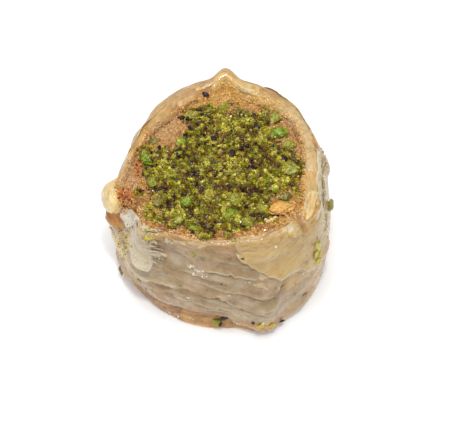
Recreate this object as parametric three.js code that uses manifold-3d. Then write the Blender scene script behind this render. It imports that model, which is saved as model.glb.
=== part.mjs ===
// A cup-shaped baklava piece: layers of thin filo wrapped round a ground-nut filling, open at the
// top and strewn with chopped pistachio. Millimetres, +Z up, front towards -Y.
//
// Two solids make it. The filo wrap is a round cup whose sheet corners stand out of its rim as folds,
// and the nut filling is the plug that the cup holds, with the pistachio bits fused to its top.
import * as THREE from "three";
import { mergeVertices } from "three/addons/utils/BufferGeometryUtils.js";
import Module from "manifold-3d";

const wasm = await Module();
wasm.setup();

// ---- Driving dimensions ----------------------------------------------------------------------
const RIM_RADIUS = 18.6; // outside of the rim between its corners
const BASE_RADIUS = 20.4; // outside of the foot between its corners
const CUP_HEIGHT = 24.6; // table to the crest of the rim
const WALL = 3.2; // all the filo layers together, at the rim
const FLOOR = 3.0; // the folded filo under the filling
const CORNER_SHARE = 0.4; // how much of a rim corner the hollow follows
const SHOULDER = 1.7; // height of the rounded rim over the wall
const RIM_FULLNESS = 0.6; // below 1, the rim is flatter on top than an ellipse
const GAP = 0.35; // between filo and filling
const FILLING_EDGE = CUP_HEIGHT - 0.6; // where the filling meets the filo
const FILLING_DOME = 0.9; // how far its middle rises above that
const DOME_FULLNESS = 2.4; // above 2, the dome is flatter on top than a bowl
const RIM_FLARE = 2.2; // above 1, the wall keeps the foot's shape for longer on its way up
const RELIEF_FADE = 3; // below the crest of the rim, the wall's relief fades out over this
const EDGE_ENDS = 10; // degrees over which a sheet's lower edge fades out at its ends
const EDGE_WAVE = 7; // degrees of wrap to each radian of the edge's wave
const LIP_RISE = 0.9; // height over which a lip stands out
const FLAP_EDGE = 6; // degrees over which a hanging corner's edge stands out of the wall
const FLAP_FADE = 6; // height over which it melts into the rim
const BELLY = 0.5; // how far the wall swells at half height
const FOOT_ROUND = 0.7; // radius of the underside's edge
const CORNER_LIFT = 14; // height from which a rim corner lifts the wall with it
const AXIS = new THREE.Vector2(0.48, 0.14); // the cup's own axis, from the middle of the whole piece

// The pistachio heap: bits spread over a disc that lies a little to the front right.
const HEAP_BITS = 112;
const HEAP_RADIUS = 13.4;
const HEAP_MIDDLE = new THREE.Vector2(0.6, -0.9);
const HEAP_BIT = { least: 0.62, more: 0.45 }; // half size of a bit, and what the draw adds to it
const BIT_LONG = 1.15; // its half length and half width by that
const BIT_WIDE = 0.9;
const BIT_TALL = 0.75; // its half height by its half width
const BIT_BREAK = { least: 0.84, more: 0.3 }; // how far its corners are moved
const BIT_ROOM = 1.2; // its own half lengths that a bit stays from the filo, besides two gaps
const WALL_BIT = { deep: 0.6, wide: 0.8, proud: 0.15 }; // shares of a clinging bit's half length
const SINK = 0.3; // share of a bit's half height by which its middle stands over what it lies on
const SEED = 20;

// How finely the solids are divided.
const CUP_SIDES = 80;
const WALL_ROWS = 18;
const RIM_STEPS = 6;
const FILLING_SIDES = 64;
const FILLING_RINGS = 7;

// Corners of the filo sheet that stand out of the rim: compass angle and half width in degrees
// (0 is +X, 90 the back), then how far they reach out and up.
const RIM_CORNERS = [
  { at: 87.2, wide: 5.5, out: 1.6, up: 1.4 }, // the pinched peak at the back
  { at: 84, wide: 40, out: 2.0, up: 0.2 }, // the back, which leans out under the peak
  { at: 197, wide: 8.5, out: 4.4, up: 0.1 }, // the puffed lobe on the left
  { at: 229, wide: 9, out: 2.6, up: 0.2 }, // the folded front left corner
  { at: 300, wide: 16, out: 0.9, up: 0.0 }, // the front, as it turns into
  { at: 323, wide: 16, out: 3.0, up: 0.5 }, // the front right corner
  { at: 52, wide: 22, out: 0.5, up: 0.0 }, // the soft back right corner
  { at: 156, wide: 26, out: -2.0, up: -0.2 }, // the flat back left side
];

// Where the hollow widens or narrows on its own, as the wrap is thin in some places and doubled in
// others.
const HOLLOW_CORNERS = [
  { at: 87, wide: 9, out: 2.4 }, // filling drawn out into the peak
  { at: 32, wide: 16, out: 0.8 },
  { at: 130, wide: 16, out: -0.9 }, // doubled sheets at the back left
  { at: 186, wide: 18, out: 1.5 }, // filling drawn out towards the lobe
  { at: 243, wide: 14, out: 1.3 },
];

// Corners of the foot, in the same way.
const BASE_CORNERS = [
  { at: 291, wide: 8, out: 2.0 }, // the lobe that the last fold leaves at the front
  { at: 309, wide: 30, out: 2.3 },
  { at: 252, wide: 28, out: 0.5 },
  { at: 20, wide: 26, out: 0.5 },
  { at: 201, wide: 10, out: 0.3 },
];

// Lower edges of the wrapped sheets. Each runs round the wall from one angle to another at a wavy
// height, and its lip stands out and melts into the wall above it, as shingles do.
const SHEET_EDGES = [
  { from: 212, to: 276, z: 4.8, slope: 0.01, wave: 0.8, lip: -1.0, melt: -30 }, // over the foot
  { from: 214, to: 304, z: 10.6, slope: -0.035, wave: 0.5, lip: 0.9, melt: 4.2 },
  { from: 218, to: 304, z: 16.0, slope: -0.045, wave: 0.4, lip: 0.8, melt: 3.4 },
  { from: 226, to: 290, z: 20.4, slope: -0.02, wave: 0.4, lip: 0.4, melt: 3.0 },
  { from: 302, to: 356, z: 15.2, slope: -0.02, wave: 0.3, lip: 0.7, melt: 5.0 },
  { from: 30, to: 200, z: 5.2, slope: 0.012, wave: 0.6, lip: 0.7, melt: 4.0 },
  { from: 20, to: 168, z: 11.6, slope: -0.015, wave: 0.6, lip: 0.7, melt: 4.0 },
  { from: 48, to: 190, z: 17.4, slope: 0.01, wave: 0.5, lip: 0.5, melt: 3.5 },
];

// Sheet corners that hang down the wall: the tip, half width of the flap per millimetre of rise,
// and the height it comes from.
const FLAPS = [
  { at: 300, tip: 12.8, spread: 2.7, top: 26, lip: 0.9 },
  { at: 118, tip: 8.6, spread: 2.6, top: 26, lip: 0.8 },
  { at: 20, tip: 12.0, spread: 2.2, top: 26, lip: 0.7 },
];

// Soft folds that bulge out of the wall: angle, half width, height, half height, reach.
const BULGES = [
  { at: 202, wide: 9, z: 17.2, tall: 2.8, out: 1.2 }, // the dark fold under the left lobe
  { at: 199, wide: 10, z: 12.0, tall: 3.0, out: 0.7 },
  { at: 14, wide: 12, z: 15.0, tall: 6.0, out: 0.4 }, // the outer wrap on the right
  { at: 228, wide: 5, z: 16.0, tall: 7.0, out: 0.8 }, // the upright ridge at the front left
];

// Waves in the filling's top: height, crests in one turn, radians from middle to edge, start.
const FILLING_WAVES = [
  { height: 0.3, around: 3, outwards: 0, from: 0.7 },
  { height: 0.25, around: 5, outwards: 5, from: 0 },
];

// Larger pistachio bits: place on the top from the cup's axis, half length, half width, turn.
const LARGE_BITS = [
  [-13.7, 1.1, 1.5, 1.1, 110],
  [0.7, 13.6, 1.1, 0.8, 10],
  [10.6, 11.2, 1.5, 1.2, 60],
  [10.8, 7.5, 1.9, 1.3, 0],
  [12.6, 4.5, 1.5, 0.9, 0],
  [13.4, -0.9, 1.5, 1.4, 80],
  [12.0, -7.6, 1.2, 1.0, 20],
  [-5.3, 11.3, 1.2, 1.0, 40],
  [-7.3, 5.1, 1.1, 0.9, 30],
  [-12.4, -4.4, 1.1, 0.9, 70],
  [-11.4, -9.0, 1.4, 0.9, 80],
  [-6.1, -9.4, 1.1, 0.9, 10],
  [2.2, -11.9, 1.7, 1.0, 20],
  [2.9, -9.0, 1.4, 1.2, 50],
  [7.3, -10.4, 1.1, 1.0, 0],
  [5.3, -13.2, 1.3, 1.0, 15],
  [-4.6, -15.0, 1.4, 0.9, 170],
  [-7.5, -12.9, 1.1, 1.0, 30],
  [4.0, 12.3, 1.3, 0.9, 0],
  [-12.2, 5.9, 1.0, 0.7, 20],
  [-7.4, 11.3, 1.0, 0.6, 0],
  [9.6, -10.2, 1.9, 1.2, 12],
];

// Bits that cling to the outside of the wrap: compass angle, height, half length.
const WALL_BITS = [
  { at: 347, z: 20.6, size: 1.7 },
  { at: 268, z: 1.1, size: 1.1 },
  { at: 272, z: 3.4, size: 0.7 },
  { at: 325, z: 17.0, size: 1.0 },
  { at: 216, z: 4.2, size: 0.8 },
  { at: 150, z: 7.0, size: 0.9 },
  { at: 62, z: 13.5, size: 1.0 },
];

// ---- Small helpers ---------------------------------------------------------------------------
const RADIAN = Math.PI / 180;
const clamp01 = (x) => Math.min(1, Math.max(0, x));
const smooth = (x) => clamp01(x) ** 2 * (3 - 2 * clamp01(x));
const mix = (a, b, t) => a + (b - a) * t;
const turnFrom = (a, b) => ((((a - b) % 360) + 540) % 360) - 180; // a - b, from -180 to 180 degrees
const hump = (x, width) => Math.exp(-((x / width) ** 2));

// Random numbers from a seed (mulberry32), so that every build is the same.
function seeded(seed) {
  let state = seed;
  return () => {
    state = (state + 0x6d2b79f5) | 0;
    let t = Math.imul(state ^ (state >>> 15), 1 | state);
    t = (t + Math.imul(t ^ (t >>> 7), 61 | t)) ^ t;
    return ((t ^ (t >>> 14)) >>> 0) / 4294967296;
  };
}

const sumOfCorners = (corners, angle, key) =>
  corners.reduce((sum, c) => sum + c[key] * hump(turnFrom(angle, c.at), c.wide), 0);

// ---- The form of the cup ---------------------------------------------------------------------
const rimRadius = (angle) => RIM_RADIUS + sumOfCorners(RIM_CORNERS, angle, "out");
const baseRadius = (angle) => BASE_RADIUS + sumOfCorners(BASE_CORNERS, angle, "out");
const rimRise = (angle) => sumOfCorners(RIM_CORNERS, angle, "up");

// How far one sheet's lower edge lifts the wall out at a place. A lip below zero cuts the wall back
// above its edge instead, which leaves what is under it standing out as a foot.
function edgeRelief(edge, angle, z) {
  const along = turnFrom(angle, (edge.from + edge.to) / 2);
  const half = (edge.to - edge.from) / 2;
  const fade = smooth((half - Math.abs(along)) / EDGE_ENDS);
  const height = edge.z + edge.slope * (along + half) + edge.wave * Math.sin(along / EDGE_WAVE);
  const above = z - height;
  const step = smooth(above / LIP_RISE);
  return edge.lip * fade * step * Math.exp(-Math.max(0, above) / Math.abs(edge.melt));
}

function flapRelief(flap, angle, z) {
  const side = flap.spread * (z - flap.tip) - Math.abs(turnFrom(angle, flap.at));
  const inside = smooth(side / FLAP_EDGE);
  return flap.lip * inside * smooth((flap.top - z) / FLAP_FADE);
}

const bulgeRelief = (b, angle, z) => b.out * hump(turnFrom(angle, b.at), b.wide) * hump(z - b.z, b.tall);

function wallRelief(angle, z) {
  const edges = SHEET_EDGES.reduce((sum, e) => sum + edgeRelief(e, angle, z), 0);
  const flaps = FLAPS.reduce((sum, f) => sum + flapRelief(f, angle, z), 0);
  const bulges = BULGES.reduce((sum, b) => sum + bulgeRelief(b, angle, z), 0);
  return edges + flaps + bulges;
}

// Outside of the wall at a compass angle in degrees and a height.
function wallRadius(angle, z) {
  const t = clamp01(z / (CUP_HEIGHT - SHOULDER));
  const plain = mix(baseRadius(angle), rimRadius(angle), t ** RIM_FLARE);
  const belly = BELLY * Math.sin(Math.PI * t);
  const fade = smooth((CUP_HEIGHT - z) / RELIEF_FADE);
  return plain + belly + wallRelief(angle, z) * fade;
}

// Inside of the wall, which the sheet corners don't change much.
function hollowRadius(angle) {
  const corners = CORNER_SHARE * sumOfCorners(RIM_CORNERS, angle, "out");
  return RIM_RADIUS - WALL + corners + sumOfCorners(HOLLOW_CORNERS, angle, "out");
}

// Height of the filling's top: a low dome with slow waves, which die out at its middle and its edge.
function fillingTop(angle, share) {
  const dome = FILLING_DOME * (1 - share ** DOME_FULLNESS);
  const wave = (w) => w.height * Math.sin(w.around * angle * RADIAN + w.outwards * share + w.from);
  const waves = FILLING_WAVES.reduce((sum, w) => sum + wave(w), 0);
  return FILLING_EDGE + dome + waves * share * smooth((1 - share) * 4);
}

// ---- From functions to solids ----------------------------------------------------------------
// A closed solid of revolution whose points are then moved by place(row, angle) to [radius, height].
// The first and last rows lie on the axis.
function warpedLathe(rows, sides, place) {
  const profile = [];
  for (let row = 0; row < rows; row++) {
    const onAxis = row === 0 || row === rows - 1;
    profile.push(new THREE.Vector2(onAxis ? 0 : 1, row));
  }
  const geometry = new THREE.LatheGeometry(profile, sides);
  geometry.rotateX(Math.PI / 2);
  geometry.deleteAttribute("normal");
  geometry.deleteAttribute("uv");
  const points = geometry.getAttribute("position");
  for (let i = 0; i < points.count; i++) {
    const row = i % rows;
    const side = Math.floor(i / rows) % sides;
    const angle = (360 * side) / sides;
    const [radius, height] = place(row, angle);
    points.setXYZ(i, radius * Math.cos(angle * RADIAN), radius * Math.sin(angle * RADIAN), height);
  }
  return geometry;
}

// A geometry as a solid for joining and cutting.
function solidOf(geometry) {
  const merged = mergeVertices(geometry, 1e-4);
  const mesh = new wasm.Mesh({
    numProp: 3,
    vertProperties: new Float32Array(merged.getAttribute("position").array),
    triVerts: new Uint32Array(merged.index.array),
  });
  return new wasm.Manifold(mesh);
}

// The largest piece of a joined solid as a geometry. Loose scraps are dropped.
function geometryOf(solid) {
  const pieces = solid.decompose().sort((a, b) => b.volume() - a.volume());
  const mesh = pieces[0].getMesh();
  const positions = new Float32Array(mesh.numVert * 3);
  for (let i = 0; i < mesh.numVert; i++) {
    positions.set(mesh.vertProperties.subarray(i * mesh.numProp, i * mesh.numProp + 3), i * 3);
  }
  const geometry = new THREE.BufferGeometry();
  geometry.setAttribute("position", new THREE.BufferAttribute(positions, 3));
  geometry.setIndex(new THREE.BufferAttribute(mesh.triVerts, 1));
  return geometry;
}

// ---- The filo wrap ---------------------------------------------------------------------------
// Rows from the middle of the underside, up the outside, over the rim, down the inside to the floor.
function wrapRows() {
  const rows = [() => [0, 0], (angle) => [0.5 * baseRadius(angle), 0]];
  rows.push((angle) => [wallRadius(angle, 0) - FOOT_ROUND, 0]);
  const top = CUP_HEIGHT - SHOULDER;
  for (let i = 0; i <= WALL_ROWS; i++) {
    const z = mix(FOOT_ROUND, top, i / WALL_ROWS);
    const lifted = smooth((z - CORNER_LIFT) / (top - CORNER_LIFT));
    rows.push((angle) => [wallRadius(angle, z), z + rimRise(angle) * lifted]);
  }
  for (let i = 1; i <= RIM_STEPS; i++) {
    const turn = (Math.PI * i) / RIM_STEPS;
    const inward = (1 - Math.cos(turn)) / 2;
    const z = top + SHOULDER * Math.max(0, Math.sin(turn)) ** RIM_FULLNESS;
    const rise = (angle) => rimRise(angle) * (1 - inward ** 2);
    rows.push((angle) => [mix(wallRadius(angle, top), hollowRadius(angle), inward), z + rise(angle)]);
  }
  for (const z of [FILLING_EDGE - SHOULDER, FILLING_EDGE / 2, FLOOR]) {
    rows.push((angle) => [hollowRadius(angle), z]);
  }
  rows.push(() => [0, FLOOR]);
  return rows;
}

// One irregular bit of nut: a squashed icosahedron with its corners moved a little.
function bitGeometry(random, long, wide, tall) {
  const geometry = new THREE.IcosahedronGeometry(1, 0);
  geometry.deleteAttribute("normal");
  geometry.deleteAttribute("uv");
  const merged = mergeVertices(geometry, 1e-4);
  const points = merged.getAttribute("position");
  for (let i = 0; i < points.count; i++) {
    const stretch = BIT_BREAK.least + BIT_BREAK.more * random();
    points.setXYZ(i, points.getX(i) * stretch, points.getY(i) * stretch, points.getZ(i) * stretch);
  }
  merged.scale(long, wide, tall);
  return merged;
}

function wallBits(random) {
  return WALL_BITS.map((bit) => {
    const geometry = bitGeometry(random, bit.size * WALL_BIT.deep, bit.size * WALL_BIT.wide, bit.size);
    const radius = wallRadius(bit.at, bit.z) + bit.size * WALL_BIT.proud;
    geometry.rotateZ(bit.at * RADIAN);
    geometry.translate(radius * Math.cos(bit.at * RADIAN), radius * Math.sin(bit.at * RADIAN), bit.z);
    return solidOf(geometry);
  });
}

function filoWrap() {
  const rows = wrapRows();
  let solid = solidOf(warpedLathe(rows.length, CUP_SIDES, (row, angle) => rows[row](angle)));
  for (const bit of wallBits(seeded(SEED + 1))) {
    solid = solid.add(bit);
  }
  return geometryOf(solid);
}

// ---- The nut filling with its pistachio ------------------------------------------------------
function fillingRows() {
  const side = (angle) => hollowRadius(angle) - GAP;
  const bottom = FLOOR + GAP;
  const rows = [() => [0, bottom], (angle) => [side(angle), bottom]];
  rows.push((angle) => [side(angle), FILLING_EDGE / 2]);
  for (let i = 0; i <= FILLING_RINGS; i++) {
    const share = 1 - i / (FILLING_RINGS + 0.5);
    rows.push((angle) => [side(angle) * share, fillingTop(angle, share)]);
  }
  rows.push(() => [0, fillingTop(0, 0)]);
  return rows;
}

// Height of the filling's top at a place given from the cup's axis.
function fillingTopAt(x, y) {
  const angle = Math.atan2(y, x) / RADIAN;
  return fillingTop(angle, Math.hypot(x, y) / (hollowRadius(angle) - GAP));
}

// A bit that lies on the filling, moved in where it would reach the filo.
function topBit(random, x, y, long, wide, turn) {
  const tall = BIT_TALL * wide;
  const geometry = bitGeometry(random, long, wide, tall);
  const room = hollowRadius(Math.atan2(y, x) / RADIAN) - 2 * GAP - BIT_ROOM * long;
  const inwards = Math.min(1, room / Math.hypot(x, y));
  geometry.rotateZ(turn * RADIAN);
  geometry.translate(x * inwards, y * inwards, fillingTopAt(x * inwards, y * inwards) + SINK * tall);
  return solidOf(geometry);
}

// The heap: bits on a sunflower spiral, each nudged by a seeded draw.
function heapBits(random) {
  const goldenAngle = 180 * (3 - Math.sqrt(5));
  const bits = [];
  for (let i = 0; i < HEAP_BITS; i++) {
    const radius = HEAP_RADIUS * Math.sqrt((i + 0.5) / HEAP_BITS) + random() - 0.5;
    const angle = i * goldenAngle + 10 * random();
    const x = radius * Math.cos(angle * RADIAN) + HEAP_MIDDLE.x;
    const y = radius * Math.sin(angle * RADIAN) + HEAP_MIDDLE.y;
    const size = HEAP_BIT.least + HEAP_BIT.more * random() ** 2;
    bits.push(topBit(random, x, y, size * BIT_LONG, size * BIT_WIDE, 180 * random()));
  }
  return bits;
}

function nutFilling() {
  const rows = fillingRows();
  const random = seeded(SEED);
  let solid = solidOf(warpedLathe(rows.length, FILLING_SIDES, (row, angle) => rows[row](angle)));
  const large = LARGE_BITS.map((bit) => topBit(random, ...bit));
  for (const bit of [...large, ...heapBits(random)]) {
    solid = solid.add(bit);
  }
  return geometryOf(solid);
}

// ---- The piece -------------------------------------------------------------------------------
function namedMesh(name, geometry, material) {
  const mesh = new THREE.Mesh(geometry, material);
  mesh.name = name;
  return mesh;
}

const filoMaterial = new THREE.MeshStandardMaterial({ color: 0xc9ab82, roughness: 0.35, metalness: 0 });
const nutMaterial = new THREE.MeshStandardMaterial({ color: 0x8f8a33, roughness: 0.6, metalness: 0 });

const piece = new THREE.Group();
piece.position.set(AXIS.x, AXIS.y, 0);
piece.add(namedMesh("filo_wrap", filoWrap(), filoMaterial));
piece.add(namedMesh("nut_filling", nutFilling(), nutMaterial));

export default piece;
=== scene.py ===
# %% [markdown]
# # A cup-shaped piece of baklava
#
# Thin filo sheets are wrapped round a plug of ground nuts. The sheets are soaked in syrup, so the
# sides of the piece turn grey and glassy, while the rim, which stood up in the oven's heat, is
# golden. Chopped pistachio is strewn over the open top. Everything below is built in millimetres
# on one measured form, the plain cup, and turned into metres only where a mesh is made.

# %% Tools and the fixed frame
import math

import bpy
import numpy as np
from mathutils import Matrix, Vector
from mathutils.bvhtree import BVHTree


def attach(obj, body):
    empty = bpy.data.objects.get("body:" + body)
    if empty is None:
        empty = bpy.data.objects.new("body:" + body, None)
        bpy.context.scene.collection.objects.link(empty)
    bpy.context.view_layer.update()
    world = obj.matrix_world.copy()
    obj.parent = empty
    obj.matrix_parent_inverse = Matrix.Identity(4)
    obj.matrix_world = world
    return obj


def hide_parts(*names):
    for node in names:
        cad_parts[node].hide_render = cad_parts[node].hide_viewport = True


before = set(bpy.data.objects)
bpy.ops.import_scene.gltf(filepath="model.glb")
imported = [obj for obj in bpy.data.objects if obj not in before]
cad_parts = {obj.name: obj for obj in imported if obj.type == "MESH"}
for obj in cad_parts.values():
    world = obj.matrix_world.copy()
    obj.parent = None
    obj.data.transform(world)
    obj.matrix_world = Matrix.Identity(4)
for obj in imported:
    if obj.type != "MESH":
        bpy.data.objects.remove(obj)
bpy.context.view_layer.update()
MM = 0.001

# %% [markdown]
# ## Light, floor and camera
#
# Wet dough shows its shape through soft reflections, so the piece stands in a white tent: a bright
# world, one wide lamp overhead and a floor that is nearly white and glows a little. One small lamp
# adds the pinpoint glints that syrup has. The camera looks down at the piece from in front, from
# far enough away that the rim and the foot keep nearly the same scale.

# %% The camera
CUP_AXIS = np.array([0.48, 0.14])  # where the cup's own axis stands in the frame
CAMERA_RISE = 54.0  # degrees above the table
CAMERA_DISTANCE = 350.0
CAMERA_LENS = 145.6
LOOKED_AT = np.array([CUP_AXIS[0] + 0.96, CUP_AXIS[1] - 2.96, 9.85])

rise = math.radians(CAMERA_RISE)
camera_back = np.array([0.0, -math.cos(rise), math.sin(rise)])
camera_up = np.array([0.0, math.sin(rise), math.cos(rise)])
camera_place = (LOOKED_AT + CAMERA_DISTANCE * camera_back) * MM
camera = bpy.data.objects.new("camera", bpy.data.cameras.new("camera"))
camera.data.lens = CAMERA_LENS
camera.data.clip_start = 0.01
camera.matrix_world = Matrix(
    [[(1, 0, 0)[i], camera_up[i], camera_back[i], camera_place[i]] for i in range(3)] + [[0, 0, 0, 1]]
)
bpy.context.scene.collection.objects.link(camera)
bpy.context.scene.camera = camera

# %% Setting plain values
def set_inputs(shader, values):
    """Sets plain numbers and colours on a node's own sockets."""
    for label, value in values.items():
        shader.inputs[label].default_value = value


# %% The white tent
WORLD_LIGHT = 0.40
scene = bpy.context.scene
scene.view_settings.view_transform = "Standard"
scene.world = bpy.data.worlds.new("tent")
scene.world.use_nodes = True
set_inputs(scene.world.node_tree.nodes["Background"], {"Color": (1, 1, 1, 1), "Strength": WORLD_LIGHT})


def lamp(name, place_mm, size_mm, watts):
    """An area lamp that shines at the piece."""
    light = bpy.data.objects.new(name, bpy.data.lights.new(name, "AREA"))
    light.data.size = size_mm * MM
    light.data.energy = watts
    place = np.array(place_mm, float)
    back = place - np.array([0, 0, 12.0])
    back /= np.linalg.norm(back)
    side = np.cross((0, 1, 0), back)
    side /= np.linalg.norm(side)
    up = np.cross(back, side)
    light.matrix_world = Matrix(
        [[side[i], up[i], back[i], place[i] * MM] for i in range(3)] + [[0, 0, 0, 1]]
    )
    scene.collection.objects.link(light)


lamp("wide lamp overhead", (-40, -30, 520), 330, 1.65)
lamp("small lamp for glints", (20, -150, 470), 34, 0.6)

# %% The floor
FLOOR_HALF = 900.0
corners = FLOOR_HALF * MM * np.array([(-1, -1, 0), (1, -1, 0), (1, 1, 0), (-1, 1, 0)])
floor_mesh = bpy.data.meshes.new("floor")
floor_mesh.from_pydata([tuple(c) for c in corners], [], [(0, 1, 2, 3)])
floor = bpy.data.objects.new("floor", floor_mesh)
scene.collection.objects.link(floor)
floor_paint = bpy.data.materials.new("white floor")
floor_paint.use_nodes = True
set_inputs(floor_paint.node_tree.nodes["Principled BSDF"], {
    "Base Color": (0.90, 0.925, 0.95, 1), "Roughness": 0.9, "Emission Color": (1, 1, 1, 1),
    "Emission Strength": 0.19,
})
floor_mesh.materials.append(floor_paint)

# %% [markdown]
# ## The plain cup
#
# The cup is a round form whose radius changes with the compass angle (0 is to the right, 90 at the
# back, 270 in front) and with the height. Corners of the folded sheets push its rim and its foot
# out here and there, each as a smooth hump. Writing the form as functions lets every sheet, crumb
# and drop below ask where the surface is, so all of them sit on it.

# %% Driving sizes of the cup
RIM_RADIUS = 18.6
BASE_RADIUS = 20.4
CUP_HEIGHT = 24.6
WALL = 3.2
FLOOR_THICKNESS = 3.0
CORNER_SHARE = 0.4  # how much of the rim's corners the hollow follows
SHOULDER = 1.7  # height of the rounded rim
GAP = 0.35  # between the nuts and the wall
RIM_FULLNESS = 0.6  # less than 1 makes the rim flat on top
FILLING_EDGE = CUP_HEIGHT - 0.6
FILLING_DOME = 0.9
BELLY = 0.5
CORNER_LIFT = 14.0  # way up the wall from which the corners of the rim rise
TOP = CUP_HEIGHT - SHOULDER  # where the wall ends and the rounded rim starts
RIM_LENGTH = 5.4  # way over the rim, from the wall to the inside

# Angle, half width, reach out and rise of each corner of the rim.
RIM_CORNERS = [
    (87.2, 5.5, 1.6, 1.4),
    (84, 40, 2.0, 0.2),
    (197, 8.5, 4.4, 0.1),
    (229, 9, 2.6, 0.2),
    (300, 16, 0.9, 0.0),
    (323, 16, 3.0, 0.5),
    (52, 22, 0.5, 0.0),
    (156, 26, -2.0, -0.2),
]
# Angle, half width and reach out of the corners of the hollow and of the foot.
HOLLOW_CORNERS = [(87, 9, 2.4), (32, 16, 0.8), (130, 16, -0.9), (186, 18, 1.5), (243, 14, 1.3)]
BASE_CORNERS = [(291, 8, 2.0), (309, 30, 2.3), (252, 28, 0.5), (20, 26, 0.5), (201, 10, 0.3)]
# Angle, half width, height, half height and reach of the soft folds in the wall.
BULGES = [(202, 9, 17.2, 2.8, 1.2), (199, 10, 12, 3, 0.7), (14, 12, 15, 6, 0.4), (228, 5, 16, 7, 0.8)]


# %% Small helpers for smooth forms
def smooth(x):
    x = np.clip(x, 0, 1)
    return x * x * (3 - 2 * x)


def mix(a, b, t):
    return a + (b - a) * t


def turn_from(a, b):
    """Degrees from b to a, from -180 to 180."""
    return (a - b + 180) % 360 - 180


def hump(x, width):
    return np.exp(-((x / width) ** 2))


def angle_hump(angle, middle, width):
    return hump(turn_from(angle, middle), width)


def near(angle, middle, width, fullness=1.5):
    """1 round a compass angle, and 0 from fullness times width away from it."""
    return smooth(fullness - np.abs(turn_from(angle, middle)) / width)


def corner_sum(corners, angle, column=2):
    return sum(c[column] * angle_hump(angle, c[0], c[1]) for c in corners)


# %% Radius of the wall and of the hollow
def wall_radius(angle, z):
    t = np.clip(z / TOP, 0, 1)
    base = BASE_RADIUS + corner_sum(BASE_CORNERS, angle)
    rim = RIM_RADIUS + corner_sum(RIM_CORNERS, angle)
    soft = sum(b[4] * angle_hump(angle, b[0], b[1]) * hump(z - b[2], b[3]) for b in BULGES)
    return mix(base, rim, t**2.2) + BELLY * np.sin(np.pi * t) + soft * smooth((CUP_HEIGHT - z) / 3)


def hollow_radius(angle):
    corners = CORNER_SHARE * corner_sum(RIM_CORNERS, angle)
    return RIM_RADIUS - WALL + corners + corner_sum(HOLLOW_CORNERS, angle)


# %% A way up the wall and over the rim
NUDGE = 0.25  # half the distance, in millimetres, over which a slope is measured


def skin_profile(angle, way):
    """Radius and height at a way of so many millimetres up the wall and over the rim."""
    lift = corner_sum(RIM_CORNERS, angle, 3)
    on_wall = way <= TOP
    z_wall = np.minimum(way, TOP)
    turn = np.pi * np.clip((way - TOP) / RIM_LENGTH, 0, 1)
    inward = (1 - np.cos(turn)) / 2
    radius = mix(wall_radius(angle, z_wall), hollow_radius(angle), inward)
    height_wall = z_wall + lift * smooth((z_wall - CORNER_LIFT) / (TOP - CORNER_LIFT))
    height_rim = TOP + SHOULDER * np.sin(turn) ** RIM_FULLNESS + lift * (1 - inward**2)
    return radius, np.where(on_wall, height_wall, height_rim)


def on_cup(angle, radius, height):
    """A point in the frame, from the cup's own angle, radius and height."""
    a = np.radians(angle)
    return np.stack([CUP_AXIS[0] + radius * np.cos(a), CUP_AXIS[1] + radius * np.sin(a), height], -1)


def skin(angle, way):
    """Points of the plain cup, and the directions that stand out of it."""
    angle, way = np.broadcast_arrays(np.asarray(angle, float), np.asarray(way, float))

    def beside(degrees, up):
        return on_cup(angle + degrees, *skin_profile(angle + degrees, way + up))

    out = np.cross(beside(1, 0) - beside(-1, 0), beside(0, NUDGE) - beside(0, -NUDGE))
    out /= np.linalg.norm(out, axis=-1, keepdims=True)
    return beside(0, 0), out


# %% Height of the nut filling's top
def filling_top(angle, share):
    a = np.radians(angle)
    dome = FILLING_DOME * (1 - share**2.4)
    waves = 0.3 * np.sin(3 * a + 0.7) + 0.25 * np.sin(5 * a + 5 * share)
    return FILLING_EDGE + dome + waves * share * smooth((1 - share) * 4)


print("cup height", CUP_HEIGHT, "rim radius", round(float(wall_radius(270.0, TOP)), 2))

# %% [markdown]
# ## Noise that repeats exactly
#
# Dough, crumbs and syrup are uneven at every scale. A lattice of hashed numbers, smoothed between
# its points, gives unevenness that is the same on every run and needs no stored picture. It is
# read in space, so it closes round the cup without a seam.


# %% Lattice noise
def lattice(ix, iy, iz, seed):
    n = (ix * 73856093) ^ (iy * 19349663) ^ (iz * 83492791) ^ (seed * 40503)
    n = ((n ^ (n >> 13)) * 1274126177) & 0x7FFFFFFF
    n = ((n ^ (n >> 15)) * 668265263) & 0x7FFFFFFF
    return ((n >> 8) & 0xFFFF) / 32767.5 - 1


def noise(x, y, z, seed):
    """Smooth noise from -1 to 1, with bumps about one unit across."""
    x, y, z = np.broadcast_arrays(x, y, z)
    cell = [np.floor(v).astype(np.int64) for v in (x, y, z)]
    part = [v - c for v, c in zip((x, y, z), cell)]
    fade = [p**3 * (p * (p * 6 - 15) + 10) for p in part]
    total = 0
    for corner in range(8):
        dx, dy, dz = corner & 1, corner >> 1 & 1, corner >> 2
        weight = 1
        for step, f in zip((dx, dy, dz), fade):
            weight = weight * (f if step else 1 - f)
        total = total + weight * lattice(cell[0] + dx, cell[1] + dy, cell[2] + dz, seed)
    return total


def layered_noise(x, y, z, seed, layers=3):
    total, size, weight = 0, 1.0, 1.0
    for layer in range(layers):
        total = total + weight * noise(x * size, y * size, z * size, seed + 17 * layer)
        size *= 2.03
        weight *= 0.5
    return total / 1.75


def cup_noise(angle, way, along, across, seed):
    """Noise on the cup, with bumps of so many millimetres along the wall and up it."""
    a = np.radians(angle)
    return noise(RIM_RADIUS * np.cos(a) / along, RIM_RADIUS * np.sin(a) / along, way / across, seed)


def creases(angle, way, along, across, seed):
    """Folds in wet dough: sharp crests at 1 with soft furrows between them."""
    drift = 1.3 * cup_noise(angle, way, 13, 9, seed + 5)
    return 1 - 1.8 * np.abs(cup_noise(angle, way + drift, along, across, seed))


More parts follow.
